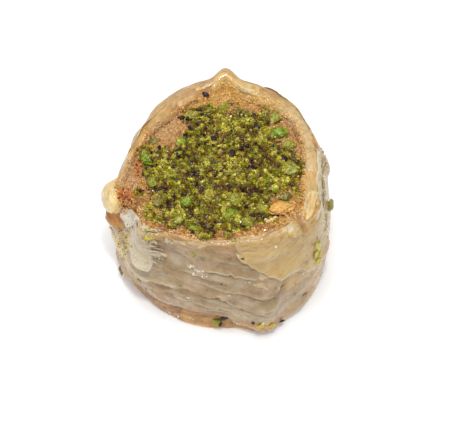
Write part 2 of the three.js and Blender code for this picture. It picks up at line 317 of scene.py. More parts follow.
def line_through(knots, angle):
    """A smooth line through (angle, way) knots."""
    at, way = np.array(knots, float).T
    position = np.interp(angle, at, np.arange(len(at)))
    step = np.floor(np.clip(position, 0, len(at) - 1.001)).astype(int)
    return mix(way[step], way[step + 1], smooth(position - step))


# %% [markdown]
# ## From points to meshes
#
# The forms have up to 150,000 points, so they are handed to Blender as whole arrays. Each mesh
# carries masks as point attributes: how toasted, soaked, pale or close to a free edge the dough is.
# Some of them carry painted light: shade in the furrows and a highlight along the free edges.
# The materials read them, so the colour follows the form.

# %% Mesh helpers
made = {}


def new_object(name, points, faces, masks=None, tint=None, flat=False):
    """An object from points in millimetres and a list of face arrays (one array for each face size)."""
    mesh = bpy.data.meshes.new(name)
    mesh.vertices.add(len(points))
    mesh.vertices.foreach_set("co", (np.asarray(points) * MM).astype(np.float32).ravel())
    corners = np.concatenate([f.ravel() for f in faces]).astype(np.int32)
    sizes = np.concatenate([np.full(len(f), f.shape[1]) for f in faces])
    starts = np.concatenate([[0], np.cumsum(sizes)[:-1]]).astype(np.int32)
    mesh.loops.add(len(corners))
    mesh.loops.foreach_set("vertex_index", corners)
    mesh.polygons.add(len(sizes))
    mesh.polygons.foreach_set("loop_start", starts)
    mesh.polygons.foreach_set("use_smooth", np.full(len(sizes), not flat))
    for mask, values in (masks or {}).items():
        layer = mesh.attributes.new(mask, "FLOAT", "POINT")
        layer.data.foreach_set("value", np.asarray(values, np.float32).ravel())
    if tint is not None:
        layer = mesh.attributes.new("tint", "FLOAT_COLOR", "POINT")
        rgba = np.concatenate([tint, np.ones((len(tint), 1))], 1)
        layer.data.foreach_set("color", rgba.astype(np.float32).ravel())
    mesh.update(calc_edges=True)
    mesh.validate()
    piece = bpy.data.objects.new(name, mesh)
    scene.collection.objects.link(piece)
    made[name] = piece
    print(name, len(points), "points", int((sizes - 2).sum()), "triangles")
    return piece


def grid_faces(rows, columns, closed):
    """Quads of a grid of points, row by row. A closed grid joins its last column to its first."""
    row = np.arange(rows - 1)[:, None]
    column = np.arange(columns if closed else columns - 1)[None, :]
    a = row * columns + column
    b = row * columns + (column + 1) % columns
    return np.stack([a, b, b + columns, a + columns], -1).reshape(-1, 4)


def fan_faces(ring, middle, outward_up):
    """Triangles from a closed ring of points to one in its middle."""
    following = np.roll(ring, -1)
    order = (ring, following) if outward_up else (following, ring)
    return np.stack([order[0], order[1], np.full(len(ring), middle)], -1)


def closed_faces(rows, columns):
    """Faces of rings of points, closed at both ends by a fan to one point. The two points come last."""
    ring = np.arange(columns)
    points = rows * columns
    ends = [fan_faces(ring, points, False), fan_faces(ring + points - columns, points + 1, True)]
    return [grid_faces(rows, columns, True), np.concatenate(ends)]


def two_faces(outer, inner):
    """Points and faces of a thin sheet, from the grids of its two sides. The edge between them is closed,
    and the faces look outwards where the rows run down and the columns run with the compass angle."""
    rows, columns = outer.shape[:2]
    below = rows * columns
    front = grid_faces(rows, columns, False)[:, ::-1]
    index = np.arange(below).reshape(rows, columns)
    ring = np.concatenate([index[0, :-1], index[:-1, -1], index[-1, :0:-1], index[:0:-1, 0]])
    following = np.roll(ring, -1)
    sides = np.stack([ring, following, following + below, ring + below], -1)
    points = np.concatenate([outer.reshape(-1, 3), inner.reshape(-1, 3)])
    return points, np.concatenate([front, front[:, ::-1] + below, sides])


# %% [markdown]
# ## Relief and colour of the dough
#
# One function says how the dough is wrinkled at a place, and one says how it is coloured there. The
# loose sheets and the body both use them, so a sheet that lies on the body is wrinkled with it and
# never cuts through it.

# %% The way the folds run
# The wrap was turned as it was set down, so in front its folds sag towards the right.
UPPER_FOLD = [
    (196, 19.2), (212, 17.6), (229, 16.2), (247, 15.2), (260, 14.6), (280, 12.6), (293, 12.0), (312, 14.0),
]
LOWER_FOLD = [
    (196, 9.0), (212, 8.4), (236, 8.6), (250, 10.4), (263, 10.3), (280, 8.3), (292, 7.2), (312, 8.6),
]


def along_folds(angle, way):
    """The way up the wall, measured from the folds instead of from the table."""
    turned = angle % 360
    here = smooth((60 - np.abs(turn_from(turned, 254))) / 12 + 0.5)
    low = line_through(LOWER_FOLD, turned) - 9.0
    high = line_through(UPPER_FOLD, turned) - 15.0
    return way - here * mix(low, high, np.clip((way - 8.5) / 6, -0.4, 1.5))


# %% Where the nuts end on the rim
# Knots of angle and way. The nuts lie over the rim's inner side, in front and on the left over
# most of it.
NUT_EDGE = [
    (0, 27.2), (16, 27.2), (42, 27.4), (61, 27.2), (76, 27.3), (87, 28.1), (98, 27.6), (116, 27.7),
    (131, 27.4), (150, 26.4), (179, 26.0), (195, 26.3), (204, 24.6), (209, 23.5), (214, 23.6), (219, 24.4),
    (231, 25.0), (240, 24.2), (261, 24.7), (290, 25.1), (310, 25.7), (330, 26.5), (345, 27.0), (360, 27.2),
]


def nut_edge(angle):
    return line_through(NUT_EDGE, np.asarray(angle) % 360)


# %% Relief of the dough
CREASE_SEED = 11
RIM_LAYER = 0.55  # from one sheet's edge to the next across the rim


def front_share(angle):
    return near(angle, 258, 62, 1.25)


def wall_folds(angle, way):
    """Broad and fine folds of the wet wall, from furrow (about -1) to crest (1)."""
    w = along_folds(angle, way)
    return creases(angle, w, 12, 2.7, CREASE_SEED), creases(angle, w, 6, 0.95, CREASE_SEED + 3)


def rim_layers(angle, way):
    """Sheet edges across the rim: a number that grows by one from each sheet to the next."""
    across = (way - TOP) + 0.5 * cup_noise(angle, 0, 7, 1, 31)
    return across / RIM_LAYER + 0.7 * cup_noise(angle, way, 5, 3, 33)


def pocket_at(angle, way):
    """The flat golden pocket in the right-hand corner of the rim, its border, a light pleat to the left of
    it, and a dark strip beside that pleat which is its painted shadow. Each is 1 there and 0 elsewhere."""
    along = turn_from(angle, 327.5) / 9.5
    across = (way - 24.9 - 0.3 * along) / 0.9
    past = (np.abs(along) ** 1.3 + np.abs(across) ** 1.3) ** (1 / 1.3) - 1
    on_rim = smooth((way - 23.0) / 0.7) * smooth((26.6 - way) / 0.8)
    light = angle_hump(angle, 311.5 + 0.8 * (way - 24), 1.6) * on_rim
    dark = angle_hump(angle, 315.8 + 0.8 * (way - 24), 1.3) * on_rim
    return smooth(0.5 - 5 * past), hump(past - 0.14, 0.1) * (0.3 + 0.7 * smooth(0.5 - across)), light, dark


def dough_relief(angle, way):
    """How far the dough stands out of the plain cup, in millimetres. It keeps room for the sheets on it."""
    sheets = 0.6 * smooth((TOP - 1 - way) / 3) * near(angle, 262, 80, 1.4)
    sheets = sheets + 0.9 * angle_hump(angle, 200, 10) * smooth((TOP - way) / 2)
    sheets = sheets + 1.6 * angle_hump(angle, 197, 8) * hump(way - 23.4, 2.6)
    inside, border, light, dark = pocket_at(angle, way)
    pocket = 0.6 * inside - 0.2 * border - 0.15 * light + 0.3 * dark
    on_wall = smooth((TOP + 0.8 - way) / 3)
    front = front_share(angle)
    broad, narrow = wall_folds(angle, way)
    folds = broad * mix(0.2, 0.34, front) + narrow * mix(0.07, 0.12, front)
    fine = creases(angle, along_folds(angle, way), 3, 0.42, CREASE_SEED + 5) * mix(0.014, 0.03, front)
    lumps = 0.22 * cup_noise(angle, way, 6, 5, CREASE_SEED + 7)
    pleats = 0.10 * cup_noise(angle, way, 1.6, 14, CREASE_SEED + 9) * (1 - front)
    layer = rim_layers(angle, way)
    edges = (layer % 1) ** 2 * smooth(cup_noise(angle, way, 5, 1.2, 35) + 0.75)
    fibres = 0.03 * cup_noise(angle, way, 4, 0.22, 37) + 0.16 * cup_noise(angle, way, 3.2, 1.5, 39)
    rim = (0.13 * edges + fibres) * smooth(way - TOP + 0.8)
    return on_wall * (folds + fine + lumps + pleats) + rim - sheets - pocket


def painted_shade_at(angle, way):
    """Painted shade: 1 in the furrows between folds, under the sheet edges of the rim and on the dark strip
    beside the light pleat, where shade falls.
    """
    broad, narrow = wall_folds(angle, way)
    wall = smooth(0.35 - 0.55 * broad) * 0.7 + smooth(0.2 - 0.6 * narrow) * 0.45
    rim = smooth(1 - 3.2 * (rim_layers(angle, way) % 1)) * 0.8
    dark = pocket_at(angle, way)[3]
    return np.clip(mix(wall, rim, smooth(way - TOP + 0.5)) + 0.7 * dark, 0, 1)


# %% Colour of the dough
PEAK = 86  # compass angle of the pinched peak


def toast_at(angle, way):
    """How far the dough is browned: the rim, the foot, a dark fold beside the lobe, and the hollow under the
    hanging corner, whose darker brown is partly amber dough and partly painted shade.
    """
    uneven = cup_noise(angle, way, 6, 2.2, 51)
    left_rim = 0.14 * angle_hump(angle, 140, 48) + 0.06 * angle_hump(angle, 45, 34)
    left_rim = left_rim - 0.4 * angle_hump(angle, PEAK, 14) - 0.3 * angle_hump(angle, 342, 24)
    rim = smooth((way - TOP + 2.0) / 2.6) * np.clip(0.62 + left_rim + 0.3 * uneven, 0, 1)
    foot_line = 5.0 + 1.6 * np.sin(np.radians(4.2 * (angle - 232))) + 0.8 * cup_noise(angle, 0, 4, 1, 53)
    foot_line = foot_line * near(angle, 248, 42)
    foot = 0.8 * smooth((foot_line - way) / 1.2 + 0.5) + 0.3 * smooth((2.4 - way) / 2.4)
    foot = np.maximum(foot, smooth((6.0 - way) / 3) * angle_hump(angle, 287, 16))
    left_fold = 0.95 * angle_hump(angle, 203, 7) * hump(way - 18.2, 2.6)
    # Under the hanging corner's edge: partly amber dough, partly painted shade.
    hollow = 0.6 * angle_hump(angle, 308, 6) * hump(way - 13.0, 1.6)
    stains = 0.30 * smooth(2.2 * cup_noise(angle, way, 5, 2.4, 55) - 0.7) * (way < TOP)
    return np.clip(np.maximum.reduce([rim, foot, left_fold, hollow, stains]), 0, 1)


def soak_at(angle, way):
    """How grey and glassy the syrup has made the dough: most in front, least at the rim."""
    below_rim = smooth((TOP - way + 0.6) / 3.5)
    uneven = 0.25 * cup_noise(angle, way, 7, 3, 57)
    return np.clip((0.45 + 0.55 * front_share(angle) + uneven) * below_rim, 0, 1)


def pale_at(angle, way):
    """Where dry flaky dough stays white."""
    corner = 0.9 * angle_hump(angle, 224, 8) * hump(way - 22.0, 3.2)
    ridge = 0.7 * angle_hump(angle, 229, 4) * hump(way - 17.0, 5)
    left = 0.5 * angle_hump(angle, 209, 8) * hump(way - 12.5, 4.5)
    bloom = 0.25 * smooth(2.0 * cup_noise(angle, way, 4, 1.5, 59) - 0.5) * (way < TOP)
    _, border, light, _ = pocket_at(angle, way)
    near_rim = smooth((way - 20.5) / 2)
    peak = 0.45 * angle_hump(angle, PEAK, 13) * near_rim * smooth((26.2 - way) / 1.2)
    behind = 0.2 * near(angle, PEAK, 50, 1.6) * near_rim * smooth((26.4 - way) / 1.5)
    places = [corner, ridge, left, bloom, 0.6 * border, 0.35 * light, peak, behind]
    return np.clip(np.maximum.reduce(places), 0, 1)


def butter_at(angle, way):
    """Where thick dough shines buttery yellow: inside the peak, in the pocket and in places on the rim."""
    peak = 0.9 * angle_hump(angle, PEAK, 7) * smooth(way - TOP - 1.6)
    pocket = pocket_at(angle, way)[0]
    here = 0.6 * smooth(2.0 * cup_noise(angle, way, 6, 2.5, 61) + 0.1) * smooth(way - TOP + 0.6)
    return np.clip(np.maximum.reduce([peak, pocket, here]), 0, 1)


def amber_at(angle, way):
    """Where syrup has turned thick dough amber: in the peak, beside the lobe, a little in the pocket."""
    peak = 0.5 * angle_hump(angle, PEAK, 8) * smooth((way - TOP - 2.2) / 1.2)
    beside = 0.6 * angle_hump(angle, 204, 5) * hump(way - 24.4, 1.2)
    return np.clip(peak + beside + 0.22 * pocket_at(angle, way)[0], 0, 1)


def dough_masks(angle, way, **given):
    """All masks of the dough at a place, and the lie of its fibres. Given ones take the place of these."""
    masks = {
        "toast": toast_at(angle, way), "soak": soak_at(angle, way), "pale": pale_at(angle, way),
        "butter": butter_at(angle, way), "furrow": painted_shade_at(angle, way), "edge": 0 * way,
        "streak": 0.4 + 0.4 * smooth(way - TOP + 1.5), "amber": amber_at(angle, way), "white": 0 * way,
    }
    masks.update(given)
    shared = {name: np.clip(value + 0 * way, 0, 1) for name, value in masks.items()}
    shared["arc"] = np.radians(angle) * RIM_RADIUS + 0 * way
    shared["way"] = along_folds(angle, way)
    return shared


def on_both_faces(masks):
    """Masks of a grid of points, for the points of both faces of a sheet."""
    return {label: np.tile(mask.ravel(), 2) for label, mask in masks.items()}


# %% [markdown]
# ## The body of the wrap
#
# The body is one closed form: underside, wall, rounded rim, inside and floor. A dense grid carries
# the folds as real relief, because a bump map would leave the outline smooth. It stands for the
# packed filo_wrap.

# %% The body's points
BODY_COLUMNS = 620
WALL_STEPS = 108
RIM_STEPS = 34
FOOT_ROUND = 0.7
FOOT_STEPS = 4

columns = np.arange(BODY_COLUMNS) * 360.0 / BODY_COLUMNS
body_rows, body_ways = [], []


def add_row(radius, height, way):
    """One ring of the body, at one way for the dough's colour."""
    body_rows.append(on_cup(columns, radius, 0 * columns + height))
    body_ways.append(0 * columns + way)


foot_relief = dough_relief(columns, 0 * columns + FOOT_ROUND)
foot_ring = skin_profile(columns, 0 * columns + FOOT_ROUND)[0] + foot_relief
for share in (0.3, 0.6, 0.85):
    add_row(share * (foot_ring - FOOT_ROUND), 0, 0)
for step in range(FOOT_STEPS + 1):
    turn = math.pi / 2 * step / FOOT_STEPS
    height = FOOT_ROUND * (1 - math.cos(turn))
    add_row(foot_ring - FOOT_ROUND * (1 - math.sin(turn)), height, FOOT_ROUND * step / FOOT_STEPS)
ways = np.concatenate([
    np.linspace(FOOT_ROUND, TOP, WALL_STEPS)[1:],
    np.linspace(TOP, TOP + RIM_LENGTH, RIM_STEPS)[1:],
])
for way in ways:
    point, out = skin(columns, 0 * columns + way)
    standing = smooth((way - FOOT_ROUND) / 1.5)
    relief = mix(foot_relief, dough_relief(columns, 0 * columns + way), standing)
    flat_out = np.stack([out[:, 0], out[:, 1], out[:, 2] * standing], -1)
    body_rows.append(point + flat_out * relief[:, None])
    body_ways.append(0 * columns + way)
for height in (FILLING_EDGE - SHOULDER, FILLING_EDGE * 0.66, FILLING_EDGE / 3, FLOOR_THICKNESS):
    add_row(hollow_radius(columns), height, TOP + RIM_LENGTH)
add_row(0.5 * hollow_radius(columns), FLOOR_THICKNESS, TOP + RIM_LENGTH)

# %% The body's mesh
body_points = np.concatenate(body_rows + [[[*CUP_AXIS, 0.0], [*CUP_AXIS, FLOOR_THICKNESS]]])
body_angles = np.concatenate([np.tile(columns, len(body_rows)), [0, 0]])
body_masks = dough_masks(body_angles, np.concatenate(body_ways + [[0, TOP]]))
body = new_object("filo_body", body_points, closed_faces(len(body_rows), BODY_COLUMNS), body_masks)

# %% [markdown]
# ## Loose sheets on the body
#
# What makes filo look like filo is the free edge of each thin sheet. A sheet here is a patch of the
# wrap between an upper and a lower line, lifted off the body by a little more towards its free
# edge. Both faces and the edge between them are modelled, so that light can pass through the thin
# dough. The edge is ragged and rolls up slightly where syrup has gathered.


# %% One sheet
SHEET_SPACING = 0.28  # from one point of a sheet to the next, about, in millimetres


def sheet_grid(upper, lower, ragged, seed):
    """Angles, ways, and shares across and down, of the points of a sheet between two lines. The sides of
    the sheet run from the ends of one line to those of the other."""
    start, end = lower[0][0], lower[-1][0]
    width = math.radians(end - start) * RIM_RADIUS
    span = np.max(np.array(line_through(upper, np.linspace(start, end, 40))) -
                  np.array(line_through(lower, np.linspace(start, end, 40))))
    across = np.linspace(0, 1, max(12, int(width / SHEET_SPACING)))[None, :]
    down = np.linspace(0, 1, max(10, int(span / SHEET_SPACING)))[:, None]
    angle = mix(mix(upper[0][0], upper[-1][0], across), mix(start, end, across), down)
    torn = ragged * layered_noise(angle * 0.45, 0, seed, seed)
    top = line_through(upper, angle)
    bottom = line_through(lower, angle) + torn
    side_wobble = 0.05 * (end - start) * ragged * noise(down * span / 1.4, 0, seed, seed + 2)
    angle = angle + side_wobble * (np.abs(across - 0.5) * 2) ** 6 * 3
    return angle, mix(top, bottom, down), across + 0 * down, down + 0 * across


def wrap_sheet(name, upper, lower, lift=(0.05, 0.5), thick=0.13, ragged=0.3, roll=0.1, folds=0.16,
               tuck=(5, 5), seed=1, toast=None, soak=None, pale=None, butter=None, edge=0.5, pleats=0.0,
               melt=0.35, browned=0.0, under=0.0, edge_width=0.22, amber=None, white=0.0, fade=0.35):
    """A thin sheet that lies on the body. lift is its height over the body at the upper and lower edge,
    tuck is how many degrees of each side dip into the dough, melt is the share of its free edge that has
    sunk back, under is how far the edge turns in below itself, and fade is the share of it, from the
    upper end, that takes on the colours of the dough it lies on."""
    angle, way, across, down = sheet_grid(upper, lower, ragged, seed)
    point, out = skin(angle, way)
    size = lower[-1][0] - lower[0][0]
    left = smooth(across * size / tuck[0]) if tuck[0] else 1
    right = smooth((1 - across) * size / tuck[1]) if tuck[1] else 1
    free = smooth(1.5 * cup_noise(angle, 0, 5.5, 1, seed + 29) + 1.1 - 1.6 * melt)
    height = mix(lift[0], lift[1] * mix(0.12, 1, free), down**1.4)
    height = height * (1 + 0.35 * cup_noise(angle, way, 5, 4, seed + 21))
    height = height + roll * hump(down - 0.95, 0.07) * free
    bend = creases(angle, along_folds(angle, way), 9, 2.0, seed + 23)
    height = height + folds * (bend * 0.5 + 0.5) * smooth(down * 4)
    height = height + pleats * (0.5 + 0.5 * cup_noise(angle, way, 0.9, 12, seed + 27))
    height = height * (1 - under * smooth((down - 0.86) / 0.14))
    held = np.minimum(left, right) * np.ones_like(way)
    height = mix(-0.3, height, held)
    inner = point + out * (dough_relief(angle, way) + height)[..., None]
    outer = inner + out * (thick * mix(0.6, 1.0, held))[..., None]
    points, faces = two_faces(outer, inner)
    if way[-1].mean() > way[0].mean():  # a sheet whose free edge is its upper one
        faces = faces[:, ::-1]
    rows, count = angle.shape
    close = np.minimum.reduce([(1 - down) * rows, across * count, (1 - across) * count]) * SHEET_SPACING
    blend = smooth(down / fade) * smooth(1.6 * held)
    burnt = browned * np.exp(-close / 0.2) * held
    # Painted shade in the creases of the sheet's folds goes into the furrow mask with the brown of a burnt
    # edge, and the edge mask paints a highlight along the free edge.
    crease_shade = smooth(0.3 - 0.6 * bend) * 0.6 * (folds > 0.1)
    given = {
        "edge": edge * np.exp(-close / edge_width) * held * mix(0.3, 1, free),
        "furrow": np.maximum(0.6 * painted_shade_at(angle, way), crease_shade) + burnt,
        "white": white * blend,
    }
    if amber is not None:
        given["amber"] = amber * np.sin(np.pi * down) * np.sin(np.pi * across)
    for label, mask_at, value in (
        ("toast", toast_at, toast), ("soak", soak_at, soak), ("pale", pale_at, pale),
        ("butter", butter_at, butter),
    ):
        given[label] = mask_at(angle, way)
        if value is not None:
            given[label] = mix(given[label], value, blend)
    given["toast"] = given["toast"] + burnt
    return new_object(name, points, [faces], on_both_faces(dough_masks(angle, way, **given)))


# %% [markdown]
# ### The soaked sheets in front
#
# Soaked sheets lie one over the other like shingles, the lowest one first, so that each upper one
# covers the top edge of the one below it. Their lower edges sag to the right as the wrap was
# turned, and sink back into the dough in places. The caramel foot of the body stays bare below.

# %% Front sheets
wrap_sheet(
    "front_sheet_low",
    upper=[(212, 12.5), (250, 12.8), (290, 11.5), (318, 12.0)],
    lower=[
        (212, 4.4), (224, 3.8), (236, 4.9), (250, 6.6), (263, 6.0), (273, 4.2), (281, 2.4), (298, 1.4),
        (318, 2.0),
    ],
    lift=(0.0, 0.75), ragged=0.3, folds=0.34, seed=3, melt=0.25, edge=0.75, under=0.4, edge_width=0.18,
)
wrap_sheet(
    "front_sheet_creased",
    upper=[(226, 13.0), (256, 12.8), (284, 10.8)],
    lower=[(226, 7.4), (240, 8.8), (256, 9.0), (270, 7.4), (284, 5.6)],
    lift=(0.2, 0.85), ragged=0.35, folds=0.3, seed=4, melt=0.45, edge=0.85, under=0.3, edge_width=0.18,
)
wrap_sheet(
    "front_sheet_middle",
    upper=[(212, 17.5), (260, 17.0), (303, 13.5)],
    lower=[
        (212, 10.4), (228, 10.2), (239, 11.2), (255, 11.4), (268, 11.0), (281, 8.8), (292, 7.6),
        (303, 8.8),
    ],
    lift=(0.1, 1.05), ragged=0.35, folds=0.34, seed=5, melt=0.3, edge=0.75, under=0.4, edge_width=0.18,
)
wrap_sheet(
    "front_sheet_upper",
    upper=[(222, 21.5), (260, 21.0), (300, 18.5)],
    lower=[(222, 17.0), (232, 16.3), (241, 15.0), (260, 14.8), (280, 12.7), (293, 11.8), (300, 12.6)],
    lift=(0.15, 1.15), ragged=0.22, folds=0.3, tuck=(5, 1.5), seed=7, melt=0.2, edge=0.8, under=0.35,
    edge_width=0.2,
)
wrap_sheet(
    "front_sheet_top",
    upper=[(222, 25.0), (260, 25.2), (291, 24.8)],
    lower=[(222, 20.2), (236, 19.8), (250, 18.6), (262, 18.2), (275, 17.4), (286, 16.6), (291, 17.0)],
    lift=(0.1, 0.7), ragged=0.35, folds=0.28, seed=9, melt=0.45, edge=0.85, soak=0.95, toast=0.15,
    edge_width=0.18,
)

# %% [markdown]
# ### The hanging corner and the right-hand sheets
#
# The last sheet's corner was folded over the rim and hangs down in front as a yellowish triangle.
# To its right the same sheet goes on round the cup with a torn lower edge. A lining shows below the
# corner's tip, and a smooth sheet falls from there to the foot like a skirt.

# %% Right-hand sheets
wrap_sheet(
    "skirt_sheet",
    upper=[(299, 17.5), (330, 17.5), (372, 18.0)],
    lower=[(299, 1.6), (310, 1.2), (330, 1.0), (352, 1.2), (372, 1.6)],
    lift=(0.1, 0.85), ragged=0.2, folds=0.1, pleats=0.1, tuck=(4, 26), soak=0.3, toast=0.3, butter=0.45,
    seed=13, edge=0.4, melt=0.3, under=0.5,
)
wrap_sheet(
    "corner_lining",
    upper=[(284, 18.5), (300, 19.5), (316, 19.0)],
    lower=[(284, 15.6), (290, 14.8), (294, 13.2), (298, 12.2), (301, 13.4), (304, 15.2), (316, 16.0)],
    lift=(0.25, 0.7), ragged=0.2, folds=0.08, tuck=(3, 4), soak=0.4, pale=0.25, seed=14, melt=0.1,
)
wrap_sheet(
    "hanging_corner",
    upper=[(278, 25.4), (300, 25.6), (322, 25.3), (337, 23.2)],
    lower=[
        (278, 22.6), (284, 20.8), (287, 19.4), (290.5, 18.1), (295, 16.5), (299, 15.2), (301.5, 15.2),
        (305.5, 15.7), (311, 15.2), (314, 13.2), (322, 12.8), (336, 12.4), (356, 13.0),
    ],
    lift=(0.35, 1.15), ragged=0.07, folds=0.05, pleats=0.06, tuck=(1.5, 8), soak=0.25, toast=0.0,
    butter=0.35, seed=15, melt=0.0, edge=0.9, edge_width=0.26, fade=0.1,
)

# %% The slit below the right-hand rim
wrap_sheet(
    "right_slit_sheet",
    upper=[(326, 14.5), (350, 15.0), (368, 15.6)],
    lower=[(326, 19.6), (333, 20.3), (345, 20.6), (354, 21.2), (368, 20.0)],
    lift=(0.0, 0.2), ragged=0.4, folds=0.04, pleats=0.08, tuck=(5, 18), soak=0.2, toast=0.0, pale=0.45,
    butter=0.4, seed=16, melt=0.4, edge=0.5, thick=0.1,
)

# %% [markdown]
# ### The left side: lobe, pale corner and ridge
#
# On the left one corner has puffed up into a thick yellow lobe, with a syrup-brown fold below it.
# Beside it a dry grey-white corner folds over the rim and runs down as an upright ridge. A dusty
# sheet shows below the two, and a browned one at the foot.

# %% Left-hand sheets
wrap_sheet(
    "dusty_sheet",
    upper=[(186, 20.0), (200, 16.4), (212, 19.5), (228, 20.0)],
    lower=[(186, 8.0), (196, 7.0), (206, 7.6), (214, 9.4), (228, 9.0)],
    lift=(0.2, 0.8), ragged=0.4, folds=0.24, tuck=(14, 3), pale=0.1, soak=0.15, butter=0.75, seed=19,
    melt=0.5,
)
wrap_sheet(
    "left_foot_sheet",
    upper=[(192, 11.0), (210, 11.5), (228, 12.0)],
    lower=[(192, 3.8), (204, 3.0), (212, 3.6), (220, 5.6), (228, 7.0)],
    lift=(0.0, 1.1), ragged=0.3, folds=0.2, tuck=(6, 4), soak=0.45, seed=21, melt=0.0, browned=0.7,
    under=0.3, edge=0.2,
)
wrap_sheet(
    "amber_fold",
    upper=[(198, 21.8), (204, 22.2), (211, 21.2)],
    lower=[(198, 17.8), (203, 17.0), (208, 17.2), (211, 18.2)],
    lift=(0.2, 0.6), ragged=0.35, folds=0.3, tuck=(1.5, 1.5), toast=0.15, soak=0.2, pale=0.0, butter=0.4,
    seed=20, melt=0.0, edge=0.0, amber=1.5, browned=0.7, pleats=0.15, fade=0.05,
)
wrap_sheet(
    "pale_corner",
    upper=[(205.5, 22.4), (213, 23.4), (222, 24.2)],
    lower=[(205.5, 21.0), (208, 19.9), (211.5, 18.9), (215, 19.4), (219, 21.2), (222, 22.8)],
    lift=(0.2, 1.5), ragged=0.05, folds=0.0, tuck=(0.8, 1.5), toast=0.0, soak=0.0, pale=1.0, butter=0.0,
    seed=17, melt=0.0, white=0.6, edge=0.0, roll=0.0, fade=0.05,
)
wrap_sheet(
    "upright_ridge",
    upper=[(213, 21.0), (221, 23.6), (236, 24.4)],
    lower=[(213, 19.6), (219, 18.4), (224, 16.8), (228.5, 15.6), (232.5, 15.6), (236, 18.4)],
    lift=(0.4, 1.35), ragged=0.3, folds=0.24, tuck=(1.0, 3), soak=0.3, toast=0.0, pale=0.6, butter=0.35,
    seed=18, melt=0.0, edge=0.7, white=0.2,
)

# %% [markdown]
# ### Sheets over the rim
#
# Sheets that end on top of the rim leave golden edges that run along it. Each is a narrow band over
# the rounded rim, from the outside to a free edge on top or on the inside. A golden facet fills the
# right-hand corner, with a light pleat beside it and a dark strip that is the pleat's painted shadow,
# and the last three bands shape the peak.

# %% Rim bands
KNOT_EVERY = 7  # degrees between the knots of a band's free edge


def rim_band(name, start, end, outer_way, to_nuts, lift, seed, wander=0.35, ragged=0.2, **finish):
    """A band over the rim, from outer_way on the wall to a free edge so far short of the nuts."""
    steps = np.linspace(start, end, max(4, round((end - start) / KNOT_EVERY)))
    edges = nut_edge(steps) - to_nuts + wander * noise(steps / 9, 0, seed, seed)
    # Each band has a painted highlight along its free edge, set by edge.
    settings = dict(soak=0.0, folds=0.03, tuck=(6, 6), thick=0.1, edge=0.35, pleats=0.05, melt=0.25)
    settings.update(finish)
    return wrap_sheet(
        name, upper=[(a, outer_way) for a in steps],
        lower=[(a, max(edge, outer_way + 0.8)) for a, edge in zip(steps, edges)],
        lift=lift, ragged=ragged, roll=0.05, seed=seed, **settings,
    )


# Name, from and to angle, way of its outer end, way left free before the nuts, lift, seed, finish.
rim_band(
    "rim_low_right", 296, 430, TOP - 2.2, -0.7, (0.0, 0.16), 41, toast=0.3, soak=0.1, pale=0.08,
    butter=0.45,
)
rim_band("rim_low_left", 104, 190, TOP - 2.0, -0.7, (0.0, 0.16), 49)
rim_band("rim_low_front", 232, 312, TOP - 1.4, -0.6, (0.0, 0.16), 47, toast=0.1, pale=0.25, butter=0.6)
rim_band(
    "rim_middle_right", 312, 418, TOP - 1.6, 0.5, (0.05, 0.32), 42, toast=0.2, soak=0.15, pale=0.2,
    butter=0.35, edge=0.4, melt=0.5,
)
rim_band(
    "rim_middle_back", 28, 84, TOP - 1.6, 1.0, (0.05, 0.24), 44, toast=0.35, pale=0.1, edge=0.25,
    melt=0.6,
)
rim_band("rim_middle_left", 102, 182, TOP - 1.6, 0.3, (0.12, 0.3), 50, toast=0.35, edge=0.25, melt=0.5)
rim_band(
    "rim_front_browned", 238, 318, TOP - 1.4, 0.35, (0.1, 0.34), 45, toast=0.05, pale=0.2, butter=0.5,
    ragged=0.1, wander=0.15, edge=0.0, browned=0.8, melt=0.0,
)
rim_band(
    "rim_outer_right", 318, 374, TOP - 1.2, 2.6, (0.05, 0.6), 43, toast=0.05, soak=0.25, pale=0.5,
    edge=1.0, edge_width=0.4, wander=0.2,
)
rim_band(
    "rim_outer_left", 100, 176, TOP - 1.2, 2.3, (0.02, 0.32), 53, toast=0.3, soak=0.25, pale=0.0,
    edge=0.3, melt=0.6,
)
rim_band(
    "rim_outer_back", 10, 70, TOP - 1.2, 3.2, (0.02, 0.4), 46, toast=0.1, soak=0.55, pale=0.2, edge=0.4,
    melt=0.4,
)
wrap_sheet(
    "golden_facet",
    upper=[(317, 24.7), (320, 24.2), (331, 24.5), (338, 24.3)],
    lower=[(317, 24.9), (322, 25.6), (331, 26.1), (336, 25.6), (338, 24.9)],
    lift=(0.45, 0.3), ragged=0.0, folds=0.0, tuck=(0.7, 0.7), toast=0.0, soak=0.0, pale=0.25, butter=1.0,
    amber=0.25, seed=59, melt=0.0, roll=0.0, edge=0.3, edge_width=0.14, fade=0.02,
)
# A dark strip, toasted and soaked, where the light pleat casts its shade: a painted shadow.
wrap_sheet(
    "pleat_shadow",
    upper=[(313.6, 22.6), (317.0, 22.6)],
    lower=[(315.0, 25.6), (318.4, 25.6)],
    lift=(0.7, 0.5), ragged=0.05, folds=0.0, tuck=(0.5, 0.5), toast=0.6, soak=0.8, pale=0.0, butter=0.0,
    seed=67, melt=0.0, roll=0.0, edge=0.1, fade=0.3,
)
wrap_sheet(
    "light_pleat",
    upper=[(306.8, 23.4), (311.6, 23.2)],
    lower=[(308.2, 25.5), (313.2, 25.7)],
    lift=(0.7, 0.5), ragged=0.05, folds=0.0, tuck=(0.6, 0.6), toast=0.0, soak=0.7, pale=0.25, butter=0.1,
    seed=69, melt=0.0, roll=0.0, edge=0.1, fade=0.5,
)
rim_band(
    "peak_hollow", 76, 97, TOP, -1.5, (0.0, 0.5), 61, toast=0.1, soak=0.2, pale=0.0, butter=0.9,
    amber=0.5, tuck=(4, 4), ragged=0.1, edge=0.1, melt=0.7, fade=0.05,
)
rim_band(
    "peak_left", 84, 112, TOP - 4.0, 1.6, (0.0, 0.22), 55, toast=0.1, pale=0.1, butter=0.8, edge=0.3,
)
